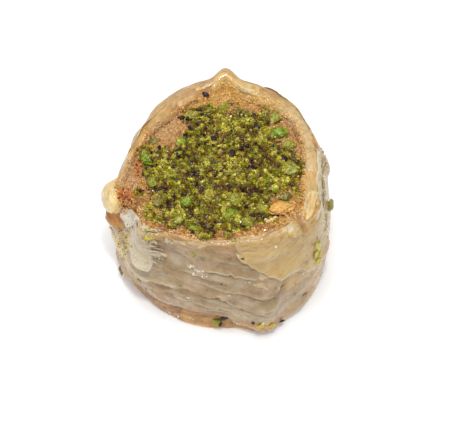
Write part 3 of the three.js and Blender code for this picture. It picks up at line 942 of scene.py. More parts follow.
rim_band("peak_right", 62, 90, TOP - 4.0, 1.0, (0.0, 0.2), 57, toast=0.2, pale=0.1, butter=0.8, edge=0.3)

# %% [markdown]
# ### The back
#
# The far side is wrapped with the same sheets, but more plainly than the front. Three broad ones
# cover it. Each has a free lower edge, and the upper two have a corner as well.

# %% Back sheets
wrap_sheet(
    "back_sheet_low",
    upper=[(22, 13.0), (100, 13.5), (192, 13.0)],
    lower=[(38, 4.0), (70, 5.2), (110, 4.4), (150, 6.0), (204, 5.0)],
    lift=(0.02, 0.75), ragged=0.4, folds=0.3, seed=61, under=0.5, melt=0.3, edge=0.5, edge_width=0.15,
)
wrap_sheet(
    "back_sheet_upper",
    upper=[(6, 22.4), (100, 22.4), (186, 22.4)],
    lower=[
        (24, 12.0), (50, 12.6), (84, 11.4), (104, 12.0), (118, 8.8), (130, 11.6), (160, 12.4),
        (192, 13.5),
    ],
    lift=(0.1, 0.85), ragged=0.4, folds=0.3, seed=63, under=0.5, melt=0.25, edge=0.5, edge_width=0.15,
)
wrap_sheet(
    "back_sheet_top",
    upper=[(346, 25.0), (400, 25.2), (470, 25.2), (534, 25.0)],
    lower=[(364, 18.6), (374, 15.6), (384, 13.4), (396, 16.6), (430, 18.4), (480, 17.6), (544, 18.6)],
    lift=(0.1, 0.65), ragged=0.4, folds=0.24, seed=65, tuck=(9, 5), under=0.4, edge=0.5, edge_width=0.15,
)

# %% [markdown]
# ### The puffed lobe
#
# The lobe is a corner of dough that swelled with steam. It is a squashed ball pushed half into the
# rim, lumpy and smooth-skinned, so it is made from a subdivided ball rather than from a sheet.


# %% A ball of points
def ball(levels):
    """Points and triangles of a unit ball made by splitting an icosahedron."""
    g = (1 + 5**0.5) / 2
    points = [(-1, g, 0), (1, g, 0), (-1, -g, 0), (1, -g, 0), (0, -1, g), (0, 1, g),
              (0, -1, -g), (0, 1, -g), (g, 0, -1), (g, 0, 1), (-g, 0, -1), (-g, 0, 1)]
    faces = [(0, 11, 5), (0, 5, 1), (0, 1, 7), (0, 7, 10), (0, 10, 11), (1, 5, 9), (5, 11, 4),
             (11, 10, 2), (10, 7, 6), (7, 1, 8), (3, 9, 4), (3, 4, 2), (3, 2, 6), (3, 6, 8), (3, 8, 9),
             (4, 9, 5), (2, 4, 11), (6, 2, 10), (8, 6, 7), (9, 8, 1)]
    points = [np.array(p) / np.linalg.norm(p) for p in points]
    for _ in range(levels):
        between, finer = {}, []

        def middle(a, b):
            key = (min(a, b), max(a, b))
            if key not in between:
                between[key] = len(points)
                half = points[a] + points[b]
                points.append(half / np.linalg.norm(half))
            return between[key]

        for a, b, c in faces:
            ab, bc, ca = middle(a, b), middle(b, c), middle(c, a)
            finer += [(a, ab, ca), (b, bc, ab), (c, ca, bc), (ab, bc, ca)]
        faces = finer
    return np.array(points), np.array(faces)


BALLS = {levels: ball(levels) for levels in (0, 1, 2, 3, 4, 5)}
BALLS["grain"] = (
    np.array([(1, 0, 0), (-1, 0, 0), (0, 1, 0), (0, -1, 0), (0, 0, 1), (0, 0, -1)], float),
    np.array([(0, 2, 4), (2, 1, 4), (1, 3, 4), (3, 0, 4), (2, 0, 5), (1, 2, 5), (3, 1, 5), (0, 3, 5)]),
)

# %% The lobe
LOBE_PLACE = (-19.7, -5.8, 22.6)  # from the cup's axis, and above the table
LOBE_HALF = np.array([2.3, 3.9, 2.3])  # to the left, to the front, up
# The way each flat place of the lobe looks, and how far out it lies.
LOBE_FLATS = [
    ((0.7, 0.7, 0.1), 0.8), ((1.0, -0.1, 0.3), 0.88), ((0.6, -0.8, 0.2), 0.82), ((0.3, 0.2, 0.95), 0.84),
]

unit, triangles = BALLS[5]
lumps = 1 + 0.2 * layered_noise(unit[:, 0] * 1.7, unit[:, 1] * 1.7, unit[:, 2] * 1.7, 71)
local = unit * lumps[:, None]
for flat_way, reach in LOBE_FLATS:
    flat_way = np.array(flat_way) / np.linalg.norm(flat_way)
    local = local - 0.65 * np.maximum(local @ flat_way - reach, 0)[:, None] * flat_way
seams = creases(unit[:, 1] * 40 + 15 * unit[:, 2], unit[:, 0] * 4, 5, 1.2, 73)
wrinkles = layered_noise(unit[:, 0] * 5, unit[:, 1] * 4, unit[:, 2] * 5, 75, 2)
local = local * (1 + 0.04 * seams + 0.06 * wrinkles)[:, None] * LOBE_HALF * np.array([-1, 1, 1])
behind = smooth(unit[:, 1])
local[:, 1] = local[:, 1] * (1 + 0.25 * behind)
local[:, 0] = local[:, 0] * (1 - 0.3 * behind) + 1.9 * behind**2
local[:, 2] = local[:, 2] * (1 - 0.4 * behind) - 0.5 * behind**2
lobe_points = local + np.array([CUP_AXIS[0] + LOBE_PLACE[0], CUP_AXIS[1] + LOBE_PLACE[1], LOBE_PLACE[2]])
# The seams of the lobe get painted shade through the furrow mask.
new_object("puffed_lobe", lobe_points, [triangles], dough_masks(
    195 - 14 * unit[:, 1], TOP + 2 * unit[:, 0], soak=0.0, butter=0.9, streak=0.5,
    toast=0.2 * smooth(-unit[:, 0] - 0.2), furrow=smooth(-0.1 - 0.8 * seams) * 0.3,
    pale=0.25 + 0.35 * smooth(unit[:, 0] + 0.6 * wrinkles),
    amber=0.8 * smooth(-1.4 * unit[:, 0] - 0.3 + 0.5 * wrinkles),
))

# %% [markdown]
# ### Torn flakes
#
# Where the dry corner was torn, slim shards of dough stand off the wall. Each is a narrow strip that
# tapers to a ragged point, bent a little outwards, with both its faces modelled.

# %% Flakes
# Root and tip (angle, way), width, and lift of root and tip of each shard.
SHARDS = [
    ((230, 20.6), (241.4, 20.5), 1.5, 0.7, 1.6), ((233, 19.6), (240.6, 18.7), 1.1, 0.7, 1.3),
    ((229, 18.4), (237, 17.5), 0.7, 0.7, 1.0), ((229, 23.9), (237, 22.8), 0.9, 0.4, 0.7),
    ((226, 24.4), (236.5, 24.8), 0.8, 0.3, 0.55), ((232, 21.6), (238.5, 21.6), 0.6, 0.6, 1.1),
    ((239, 23.4), (244, 23.2), 0.6, 0.4, 0.6), ((229.5, 22.9), (235.5, 22.2), 0.6, 0.6, 1.0),
    ((311, 13.4), (317, 13.2), 0.6, 0.8, 1.1), ((202, 15.0), (205, 13.2), 0.9, 0.6, 0.9),
]
LONG_STEPS = 16
WIDE_STEPS = 7
SHARD_THICKNESS = 0.09


def shard(root, tip, width, lifts, seed):
    """Points, faces and masks of one torn strip."""
    along = np.linspace(0, 1, LONG_STEPS)[:, None]
    across = np.linspace(-1, 1, WIDE_STEPS)[None, :]
    taper = (1 - along**2) * (1 + 0.5 * noise(along * 4, 0, seed, seed)) + 0.06
    torn = 0.25 * noise(along * 9, across * 2, seed, seed + 1)
    angle = mix(root[0], tip[0], along) + 0 * across
    way = mix(root[1], tip[1], along) + across * width / 2 * taper + torn * width * np.abs(across)
    point, out = skin(angle, way)
    curl = mix(lifts[0], lifts[1], along) + 0.25 * width * across**2
    curl = curl + 0.1 * noise(along * 5, across, 0, seed)
    inner = point + out * (dough_relief(angle, way) + curl)[..., None]
    points, faces = two_faces(inner + out * SHARD_THICKNESS, inner)
    share = smooth(1.4 * noise(along * 3, across * 1.5, seed, seed + 2) + 0.3)
    pale = 0.9 - 0.35 * share
    # Each shard takes a little of the painted edge highlight all over.
    masks = dough_masks(angle, way, toast=0.2 * share, soak=0.15, pale=pale, furrow=0.0, edge=0.2)
    return points, faces[:, ::-1], on_both_faces(masks)


def as_one(points, faces):
    """Points and faces of several forms as those of one."""
    starts = np.cumsum([0] + [len(p) for p in points])
    return np.concatenate(points), [np.concatenate([f + start for f, start in zip(faces, starts)])]


made_shards = [
    shard(root, tip, width, (low, high), 81 + 3 * i)
    for i, (root, tip, width, low, high) in enumerate(SHARDS)
]
shard_points, shard_faces, shard_masks = zip(*made_shards)
masks = {label: np.concatenate([each[label] for each in shard_masks]) for label in shard_masks[0]}
new_object("torn_flakes", *as_one(shard_points, shard_faces), masks)
filo_pieces = list(made.values())

# %% [markdown]
# ## The nut filling
#
# Ground nuts are a bed of thousands of crumbs. Each crumb is stamped into a height map as a small
# round cap, and leaves its own colour where it is the highest. The map then shapes a fine disc, so
# the bed has real relief without thousands of loose objects, and its sides and underside close it
# to the plug that it replaces.

# %% Where the pistachio heap lies
# Middle and half widths, to the right and to the back, of the heap and of the places that stay bare.
HEAP = (0.0, -2.2, 17.2, 17.2)
BARE = [
    (-10.8, 8.6, 5.4, 6.2), (12.4, -10.0, 3.4, 4.2), (-18.0, -5.0, 2.9, 5.0), (0.6, 18.0, 5.0, 3.0),
    (7.5, -17.0, 6.0, 1.6), (14.8, 9.6, 1.8, 4.0), (8.8, 15.6, 3.0, 2.2), (-17.2, -13.2, 2.4, 2.4),
    (-1.0, -18.8, 5.0, 1.2), (-9.0, -16.8, 3.0, 1.2),
]


def rim_under(x, y):
    """Height of the rim at places from the cup's axis, 0 off the rim, and the way over the rim there."""
    angle = np.degrees(np.arctan2(y, x))
    outer, inner = wall_radius(angle, TOP), hollow_radius(angle)
    inward = (outer - np.hypot(x, y)) / (outer - inner)
    way = TOP + RIM_LENGTH * np.arccos(1 - 2 * np.clip(inward, 0, 1)) / np.pi
    height = skin_profile(angle, way)[1] + dough_relief(angle, way)
    return np.where((inward > 0) & (inward < 1), height, 0.0), way


def heap_lumps(x, y):
    """Lumps of the meal, under a millimetre across: from -1 in the gaps to 1 on top of a lump."""
    return np.clip(1.5 * layered_noise(x / 0.85, y / 0.85, 0, 97, 2), -1, 1)


def off_middle(x, y, oval):
    """How far places lie from the middle of an oval, 1 on its edge."""
    middle_x, middle_y, half_x, half_y = oval
    return np.hypot((x - middle_x) / half_x, (y - middle_y) / half_y)


def heap_share(x, y):
    """1 where the pistachio lies thick, 0 where the nuts show."""
    share = smooth((1 - off_middle(x, y, HEAP)) * 4 + 0.7 * noise(x / 2.2, y / 2.2, 0, 89))
    uneven = 0.2 * noise(x, y, 0, 90)
    for oval in BARE:
        share = share * smooth((off_middle(x, y, oval) - 0.7 + uneven) * 2.6)
    return share


# %% Stamping the crumbs
MAP_HALF = 21.0
MAP_STEP = 0.1
CRUMBS = 12000
BED_REACH = 20.5  # how far from the cup's axis crumbs may lie
rng = np.random.default_rng(12)


def srgb(*rgb):
    """A colour given as it is seen, from 0 to 255, turned into light."""
    c = np.array(rgb, float) / 255
    return np.where(c <= 0.04045, c / 12.92, ((c + 0.055) / 1.055) ** 2.4)


NUT_TINTS = np.array([srgb(214, 160, 84), srgb(200, 142, 58), srgb(234, 194, 124), srgb(178, 114, 44)])
BROWN_TINT = srgb(154, 92, 38)
# Pale cream for the small crumbs and grains that stand for glints of syrup: painted glints.
GLINT_TINT = srgb(252, 234, 190)
PASTE_TINT = srgb(214, 174, 126)
BRIGHT_TINT = srgb(242, 198, 112)
ORANGE_TINT = srgb(206, 112, 24)
# From the lit tops of the lumps to the shaded gaps between them: painted light and shade, over the grains'
# own greens, olives and browns.
MEAL_TINTS = np.array([
    srgb(224, 206, 84), srgb(188, 172, 26), srgb(162, 150, 6), srgb(136, 131, 0), srgb(110, 111, 0),
    srgb(136, 104, 10), srgb(110, 80, 8), srgb(110, 58, 20), srgb(66, 40, 16), srgb(34, 20, 14),
])

axis_mm = np.arange(-MAP_HALF, MAP_HALF + MAP_STEP / 2, MAP_STEP)
map_x, map_y = np.meshgrid(axis_mm, axis_mm)
map_angle = np.degrees(np.arctan2(map_y, map_x))
map_share = np.clip(np.hypot(map_x, map_y) / (hollow_radius(map_angle) - GAP), 0, 1)
heap_map = heap_share(map_x, map_y)
height_map = filling_top(map_angle, map_share) - 0.4 + heap_map * (0.4 + 0.44 * heap_lumps(map_x, map_y))

# On the rim the nuts are a thin layer with a ragged edge. Past that edge the map stays below the dough.
rim_map, way_map = rim_under(map_x, map_y)
ragged_edge = nut_edge(map_angle) + 0.9 * layered_noise(map_x / 1.5, map_y / 1.5, 0, 94, 2)
layer_map = -0.3 + 0.72 * smooth((way_map - ragged_edge) / 0.8 + 0.4)
inside_map = height_map * (way_map > TOP + RIM_LENGTH - 1)
height_map = np.where(rim_map > 0, np.maximum(inside_map, rim_map + layer_map), height_map)
tint_map = np.tile(srgb(164, 112, 56), (*map_x.shape, 1))


def fiery_share(x, y):
    """Where syrup has turned the nuts orange: beside the lobe, in a streak, and a little on the right."""
    patch = smooth(1.5 - off_middle(x, y, (-17.3, -8.0, 1.35, 1.9)) + 0.4 * noise(x, y, 0, 92))
    streak = 0.8 * smooth(1.4 - off_middle(x, y, (-15.2, -0.8, 0.8, 2.2)) + 0.5 * noise(x, y, 0, 91))
    golden = 0.1 * smooth(1.5 - off_middle(x, y, (14.6, 10.8, 3.0, 5.0)))
    return np.maximum.reduce([patch, streak, golden])


def paste_share(x, y):
    """Where the nuts are a pale smooth paste: behind the orange patch, at the back and on the right."""
    beside = smooth(1.5 - off_middle(x, y, (-17.0, -2.0, 2.4, 3.4)))
    behind = 0.85 * smooth(1.4 - off_middle(x, y, (-10.6, 9.4, 3.4, 4.6)))
    right = 0.5 * smooth(1.5 - off_middle(x, y, (14.0, 9.0, 3.0, 7.0)))
    return np.maximum.reduce([beside, behind, right])


def brown_share(x, y):
    """Blotches where the nuts are roasted darker, most in front and fewest inside the peak."""
    in_front = 0.5 * smooth((-y - 12.0) / 2)
    blotches = smooth(2.0 * layered_noise(x / 2.4, y / 2.4, 0, 93, 2) - 0.15 + in_front)
    return blotches * (1 - 0.7 * smooth((y - 13.5) / 2))


def nut_tint_at(x, y, pick):
    """A tint for a crumb of the bare nuts, by its place and a number from 0 to 1."""
    tint = NUT_TINTS[(pick * len(NUT_TINTS)).astype(int)]
    tint = mix(tint, BROWN_TINT, 0.7 * brown_share(x, y)[:, None])
    tint = mix(tint, PASTE_TINT, 0.8 * paste_share(x, y)[:, None])
    tint = mix(tint, BRIGHT_TINT, 0.5 * smooth((y - 13.0) / 2.5)[:, None])
    return mix(tint, ORANGE_TINT, 0.9 * fiery_share(x, y)[:, None])


def meal_tint_at(x, y, lump, chance):
    """A tint for a grain of the meal: painted light on top of a lump and painted shade in the gaps, uneven
    over the heap.
    """
    uneven = 0.15 * noise(x / 3.2, y / 3.2, 0, 96)
    step = (0.45 - 0.56 * lump + uneven + 0.36 * (chance - 0.5)) * len(MEAL_TINTS)
    return MEAL_TINTS[np.clip(step, 0, len(MEAL_TINTS) - 1).astype(int)]


def stamp(x, y, radius, tint, sink):
    """Presses one crumb into the height map, where it stands higher than what is there."""
    reach = int(radius / MAP_STEP) + 1
    i, j = int(round((y + MAP_HALF) / MAP_STEP)), int(round((x + MAP_HALF) / MAP_STEP))
    window = np.s_[max(0, i - reach):i + reach + 1, max(0, j - reach):j + reach + 1]
    dx, dy = map_x[window] - x, map_y[window] - y
    inside = radius**2 - dx**2 - dy**2
    cap = height_base[i, j] - sink * radius + np.sqrt(np.maximum(inside, 0)) * 0.9
    higher = (inside > 0) & (cap > height_map[window])
    height_map[window] = np.where(higher, cap, height_map[window])
    tint_map[window] = np.where(higher[..., None], tint, tint_map[window])


tint_map = mix(tint_map, PASTE_TINT, 0.4 * paste_share(map_x, map_y)[..., None])
height_base = height_map.copy()
spread = BED_REACH * np.sqrt(rng.random(CRUMBS))
around = 2 * np.pi * rng.random(CRUMBS)
crumb_x, crumb_y = spread * np.cos(around), spread * np.sin(around)
crumb_share = heap_share(crumb_x, crumb_y)
crumb_lump = heap_lumps(crumb_x, crumb_y)
crumb_pick = rng.random(CRUMBS)
crumb_size = 0.1 + 0.28 * rng.random(CRUMBS) ** 2.6
crumb_shade = np.exp(rng.normal(0, 0.09, CRUMBS))
bare_tint = nut_tint_at(crumb_x, crumb_y, crumb_pick)
bare_sink = 0.72 + 0.1 * paste_share(crumb_x, crumb_y)
# Crumbs in the heap take the meal's painted light and shade; bare ones take the nuts' own tints.
for i in range(CRUMBS):
    x, y, shade = crumb_x[i], crumb_y[i], crumb_shade[i]
    if crumb_share[i] > 0.5:
        tint = meal_tint_at(x, y, crumb_lump[i] - 0.5, crumb_pick[i]) * shade**2
        sink = 0.4
    else:
        tint = bare_tint[i] * shade
        sink = bare_sink[i]
    stamp(x, y, crumb_size[i], np.clip(tint, 0, 1), sink)

# Thin cracks where the nuts are bare: sunk a little into the map and painted dark brown.
cracks = smooth(1.3 - np.abs(layered_noise(map_x / 2.1, map_y / 2.1, 0, 98, 2)) / 0.07)
cracks = cracks * smooth(1.5 * noise(map_x / 3.5, map_y / 3.5, 0, 99) + 0.75)
cracks = cracks * (1 - heap_map) * (way_map > ragged_edge)
height_map = height_map - 0.16 * cracks
fiery_map = fiery_share(map_x, map_y)
height_map = height_map + 0.22 * fiery_map * noise(map_x / 0.45, map_y / 0.45, 0, 95)
tint_map = mix(tint_map, srgb(112, 58, 26), 0.85 * cracks[..., None])
print("nut map", height_map.shape, "from", round(height_map.min(), 2), "to", round(height_map.max(), 2))


# %% Reading the map
def read_map(values, x, y):
    """The map's value at places between its points."""
    fx = np.clip((np.asarray(x) + MAP_HALF) / MAP_STEP, 0, len(axis_mm) - 1.001)
    fy = np.clip((np.asarray(y) + MAP_HALF) / MAP_STEP, 0, len(axis_mm) - 1.001)
    j, i = np.floor(fx).astype(int), np.floor(fy).astype(int)
    u, v = fx - j, fy - i
    if values.ndim == 3:
        u, v = u[..., None], v[..., None]
    top = mix(values[i, j], values[i, j + 1], u)
    return mix(top, mix(values[i + 1, j], values[i + 1, j + 1], u), v)


# %% The plug of nuts
PLUG_COLUMNS = 520
PLUG_RINGS = 140
plug_angle = np.arange(PLUG_COLUMNS) * 360.0 / PLUG_COLUMNS
side = hollow_radius(plug_angle) - GAP
plug_rows = [on_cup(plug_angle, share * side, 0 * side + FLOOR_THICKNESS + GAP) for share in (0.5, 1.0)]
plug_rows += [on_cup(plug_angle, side, 0 * side + z) for z in (FILLING_EDGE / 2, FILLING_EDGE - 1.2)]
plug_tints = [np.tile(NUT_TINTS[1], (PLUG_COLUMNS, 1)) for _ in range(4)]
plug_reach = skin_profile(plug_angle, np.maximum(nut_edge(plug_angle) - 0.8, TOP + 0.35))[0]
for ring in range(PLUG_RINGS):
    share = 1 - ring / (PLUG_RINGS + 0.5)
    radius = plug_reach * share
    x, y = radius * np.cos(np.radians(plug_angle)), radius * np.sin(np.radians(plug_angle))
    plug_rows.append(on_cup(plug_angle, radius, read_map(height_map, x, y)))
    plug_tints.append(read_map(tint_map, x, y))
centre_height = float(read_map(height_map, 0.0, 0.0))
plug_points = np.concatenate(plug_rows + [[[*CUP_AXIS, FLOOR_THICKNESS + GAP], [*CUP_AXIS, centre_height]]])
plug_faces = closed_faces(len(plug_rows), PLUG_COLUMNS)
plug_tint = np.concatenate(plug_tints + [NUT_TINTS[1][None], read_map(tint_map, np.zeros(1), np.zeros(1))])
nut_bed = new_object("nut_bed", plug_points, plug_faces, tint=plug_tint)

# %% [markdown]
# ## Loose bits
#
# A crumb of nut is a tiny broken stone. All crumbs of one kind are turned, stretched and shaded by
# seeded draws and joined into one mesh from arrays, which is light enough to hold thousands.


# %% Many small bits as one mesh
def random_turns(count):
    """Random rotation matrices, from unit quaternions."""
    q = rng.normal(size=(count, 4))
    w, x, y, z = (q / np.linalg.norm(q, axis=1, keepdims=True)).T
    return np.stack([
        1 - 2 * (y * y + z * z), 2 * (x * y - z * w), 2 * (x * z + y * w),
        2 * (x * y + z * w), 1 - 2 * (x * x + z * z), 2 * (y * z - x * w),
        2 * (x * z - y * w), 2 * (y * z + x * w), 1 - 2 * (x * x + y * y),
    ], -1).reshape(-1, 3, 3)


def uneven_halves(size, low, high):
    """Half sizes of bits along their three axes, each drawn between two shares of the bit's size."""
    return size[:, None] * rng.uniform(low, high, (len(size), 3))


def uneven_light(count, spread):
    """One factor of brightness for each bit."""
    return np.exp(rng.normal(0, spread, (count, 1)))


def scatter(name, places, halves, tints, levels=0, rough=0.16, flat=True):
    """One mesh of bits: places and half sizes in millimetres, one tint for each bit."""
    unit, triangles = BALLS[levels]
    count = len(places)
    shapes = unit[None] * (1 + rough * rng.normal(size=(count, len(unit), 1)).clip(-2, 2))
    shapes = shapes * halves[:, None, :]
    points = np.einsum("nij,nkj->nki", random_turns(count), shapes) + places[:, None, :]
    faces = triangles[None] + (np.arange(count) * len(unit))[:, None, None]
    tint = np.repeat(tints[:, None], len(unit), 1).reshape(-1, 3)
    return new_object(name, points.reshape(-1, 3), [faces.reshape(-1, 3)], tint=tint, flat=flat)


# %% Finding the outermost surface
# The pieces made so far are asked where a straight line from far outside meets them first.
bpy.context.view_layer.update()
graph = bpy.context.evaluated_depsgraph_get()
SURFACES = [BVHTree.FromObject(piece, graph) for piece in filo_pieces + [nut_bed]]
FAR = 6.0  # how far above the plain cup a line starts, in millimetres


def first_hit(starts, ways):
    """Where lines along unit directions first meet a piece, and the normals there. All in millimetres."""
    places, normals = np.array(starts, float), -np.array(ways, float)
    for row, (start, way) in enumerate(zip(starts, ways)):
        nearest = 2 * FAR * MM
        for tree in SURFACES:
            place, normal, _, distance = tree.ray_cast(Vector(start * MM), Vector(way), nearest)
            if place is not None:
                nearest = distance
                places[row], normals[row] = np.array(place) / MM, normal
    return places, normals


def outermost(angles, ways_up):
    """Places on the finished wall above places on the plain cup, and the directions that stand out there."""
    point, out = skin(np.asarray(angles, float), np.asarray(ways_up, float))
    return first_hit(point + FAR * out, -out)


def places_on_top(x, y, stand):
    """Places on the nuts or the rim, from the cup's axis."""
    x, y = np.atleast_1d(x), np.atleast_1d(y)
    starts = np.stack([CUP_AXIS[0] + x, CUP_AXIS[1] + y, CUP_HEIGHT + FAR + 0 * x], -1)
    places, _ = first_hit(starts, np.tile([0.0, 0.0, -1.0], (len(x), 1)))
    return places + np.stack([0 * x, 0 * x, stand + 0 * x], -1)


def places_on_map(x, y, stand):
    """Places on the nut bed, read from its height map, from the cup's axis."""
    return np.stack([CUP_AXIS[0] + x, CUP_AXIS[1] + y, read_map(height_map, x, y) + stand], -1)


# %% [markdown]
# ### Chopped pistachio
#
# A chopped pistachio has flat cut faces that are bright green to yellow, and sometimes a strip of
# purple-brown skin. The ball is cut by eight random planes, which gives flat faces with soft
# edges, and the side towards one random direction keeps its skin.

# %% Chunks
CUTS = 8
GREEN = srgb(110, 148, 6)
YELLOW_GREEN = srgb(150, 152, 10)
OLIVE = srgb(118, 104, 8)
PALE_YELLOW = srgb(182, 166, 44)
SKIN_PURPLE = srgb(54, 26, 26)
SKIN_BLACK = srgb(20, 12, 14)
LIT_GREEN = srgb(184, 186, 60)
LIT_NUT = srgb(240, 226, 160)


def chunk(place, half, turn, tone, skin_share, levels):
    """Points, triangles and tints of one chopped bit. half is its half length, width and height."""
    unit, triangles = BALLS[levels]
    bumps = layered_noise(unit[:, 0] * 1.8, unit[:, 1] * 1.8, unit[:, 2] * 1.8 + place[0] * 3, 101)
    shape = unit * (1 + 0.3 * bumps)[:, None]
    for _ in range(CUTS):
        normal = rng.normal(size=3)
        normal /= np.linalg.norm(normal)
        beyond = np.maximum(shape @ normal - rng.uniform(0.5, 0.8), 0)
        shape = shape - 0.95 * beyond[:, None] * normal
    grain = noise(unit[:, 0] * 6, unit[:, 1] * 6, unit[:, 2] * 6 + place[0], 105)
    shape = shape * (1 + 0.09 * grain + 0.05 * rng.normal(size=len(unit)).clip(-2, 2))[:, None]
    skin_way = rng.normal(size=3)
    skin_way[2] = -abs(skin_way[2])
    skin_way /= np.linalg.norm(skin_way)
    skinned = (unit @ skin_way) > 1 - 2 * skin_share
    mottled = smooth(0.5 + 0.9 * noise(unit[:, 0] * 2.4, unit[:, 1] * 2.4, unit[:, 2] * 2.4 + place[1], 103))
    light = LIT_GREEN if tone[1] > 1.15 * tone[0] else mix(tone, LIT_NUT, 0.4)
    shade = np.exp(0.2 * grain + rng.normal(0, 0.1, len(unit)))
    tint = mix(tone, light, 0.6 * mottled[:, None]) * shade[:, None]
    tint = np.where(skinned[:, None], SKIN_PURPLE, tint)
    c, s = math.cos(turn), math.sin(turn)
    points = shape * half @ np.array([[c, s, 0], [-s, c, 0], [0, 0, 1]]) + place
    return points, triangles, tint.clip(0, 0.9)


def joined(name, parts):
    """Several bits as one mesh."""
    points, faces, tints = zip(*parts)
    return new_object(name, *as_one(points, faces), tint=np.concatenate(tints))


# Place from the cup's axis, half length, half width, turn and tone of the larger chunks.
LARGE_CHUNKS = [
    (-13.7, 1.1, 1.5, 1.1, 110, GREEN), (0.7, 13.6, 1.1, 0.8, 10, YELLOW_GREEN),
    (10.6, 11.2, 1.5, 1.2, 60, YELLOW_GREEN), (10.8, 7.5, 1.9, 1.3, 0, GREEN),
    (12.6, 4.5, 1.5, 0.9, 0, YELLOW_GREEN), (13.4, -0.9, 1.5, 1.4, 80, YELLOW_GREEN),
    (12.0, -7.6, 1.2, 1.0, 20, OLIVE), (-5.3, 11.3, 1.2, 1.0, 40, PALE_YELLOW),
    (-7.3, 5.1, 1.1, 0.9, 30, GREEN), (-12.4, -4.4, 1.1, 0.9, 70, YELLOW_GREEN),
    (-11.4, -9.0, 1.4, 0.9, 80, OLIVE), (-6.1, -9.4, 1.1, 0.9, 10, GREEN),
    (2.2, -11.9, 1.7, 1.0, 20, GREEN), (2.9, -9.0, 1.4, 1.2, 50, YELLOW_GREEN),
    (7.3, -10.4, 1.1, 1.0, 0, YELLOW_GREEN), (5.3, -13.2, 1.3, 1.0, 15, YELLOW_GREEN),
    (-4.6, -15.0, 1.4, 0.9, 170, GREEN), (-7.5, -12.9, 1.1, 1.0, 30, YELLOW_GREEN),
    (4.0, 12.3, 1.3, 0.9, 0, OLIVE), (-12.2, 5.9, 1.0, 0.7, 20, OLIVE),
    (-2.1, -8.2, 1.2, 0.9, 30, PALE_YELLOW),
]
parts = []
for x, y, long, wide, turn, tone in LARGE_CHUNKS:
    place = places_on_top(x, y, 0.15 * wide)[0]
    parts.append(chunk(place, 1.15 * np.array([long, wide, 0.8 * wide]), math.radians(turn), tone, 0.12, 3))

MIDDLE_CHUNKS = 64
while len(parts) < len(LARGE_CHUNKS) + MIDDLE_CHUNKS:
    x, y = rng.uniform(-15, 15), rng.uniform(-16.5, 15)
    if heap_share(np.array(x), np.array(y)) < 0.35 or np.hypot(x, y) > 15.4:
        continue
    size = 0.32 + 0.26 * rng.random() ** 2
    tone = (GREEN, YELLOW_GREEN, OLIVE, PALE_YELLOW, YELLOW_GREEN)[rng.integers(5)]
    place = places_on_top(x, y, 0.5 * size)[0]
    half = size * rng.uniform(0.8, 1.3, 3)
    parts.append(chunk(place, half, rng.uniform(0, 6.28), tone, 0.15, 2))
chunks = joined("pistachio_chunks", parts)

# %% [markdown]
# ### Pistachio meal
#
# The meal is thousands of sharp grains. They lie on the lumps of the bed, with painted light on top
# and painted shade in the gaps, and they cling to the chunks as well, so that those look crumbly and
# not like beads.

# %% Grains that cling to the chunks
CLINGING = 9500
chunk_points = np.concatenate([points for points, _, _ in parts])
chunk_tints = np.concatenate([tint for _, _, tint in parts])
chunk_weight = np.concatenate([
    np.full(len(points), np.ptp(points[:, 2]) ** 2 / len(points)) for points, _, _ in parts
])
picked = rng.choice(len(chunk_points), CLINGING, p=chunk_weight / chunk_weight.sum())
clinging_places = chunk_points[picked] + rng.normal(0, 0.05, (CLINGING, 3))
clinging_tints = mix(chunk_tints[picked], MEAL_TINTS[rng.integers(0, len(MEAL_TINTS), CLINGING)], 0.45)
clinging_tints = clinging_tints * uneven_light(CLINGING, 0.3)


# %% Places in the heap
def heap_places(tries, wanted, outside, least):
    """Up to so many random places in the heap, and no further than this outside the edge of the nuts.
    They are thinned out where its share is small, and none lies where that is less than least."""
    x, y = rng.uniform(-17.5, 17.5, tries), rng.uniform(-19.5, 18, tries)
    short = nut_edge(np.degrees(np.arctan2(y, x))) - rim_under(x, y)[1]
    kept = np.flatnonzero((short < outside) & (heap_share(x, y) > rng.random(tries) * 0.9 + least))[:wanted]
    return x[kept], y[kept]


# %% Pistachio meal
MEAL_GRAINS = 15400
tx, ty = heap_places(60000, MEAL_GRAINS, 0.2, 0.05)
size = 0.09 + 0.17 * rng.random(len(tx)) ** 2
lump = heap_lumps(tx, ty)
# Painted light on top of the lumps and painted shade in the gaps, from meal_tint_at.
meal_tint = meal_tint_at(tx, ty, lump, rng.random(len(tx))) * uneven_light(len(tx), 0.28)
stand = size * rng.uniform(0.2, 1.0, len(tx)) + 0.35 * rng.random(len(tx)) ** 3 * (lump > -0.2)
size = np.concatenate([size, 0.07 + 0.1 * rng.random(CLINGING) ** 2])
halves = uneven_halves(size, 0.6, 1.6)
meal = scatter(
    "pistachio_meal", np.concatenate([places_on_map(tx, ty, stand), clinging_places]), halves,
    np.concatenate([meal_tint, clinging_tints]).clip(0, 0.85), levels="grain", rough=0.25,
)

# %% Pistachio flour
FLOUR_GRAINS = 24000
tx, ty = heap_places(70000, FLOUR_GRAINS, 0.3, 0)
size = 0.05 + 0.06 * rng.random(len(tx)) ** 2
lump = heap_lumps(tx, ty)
# The flour takes the same painted light and shade, a little lighter.
flour_tint = meal_tint_at(tx, ty, lump + 0.12, rng.random(len(tx))) * uneven_light(len(tx), 0.3)
stand = size * rng.uniform(0.2, 1.0, len(tx)) + (0.1 + 0.3 * rng.random(len(tx)) ** 2) * (lump > -0.3)
# A few grains, 6 in 100, are pale cream: painted glints.
flour = scatter(
    "pistachio_flour", places_on_map(tx, ty, stand), uneven_halves(size, 0.6, 1.8),
    np.where(rng.random((len(tx), 1)) < 0.06, GLINT_TINT, flour_tint).clip(0, 0.9),
    levels="grain", rough=0.25,
)

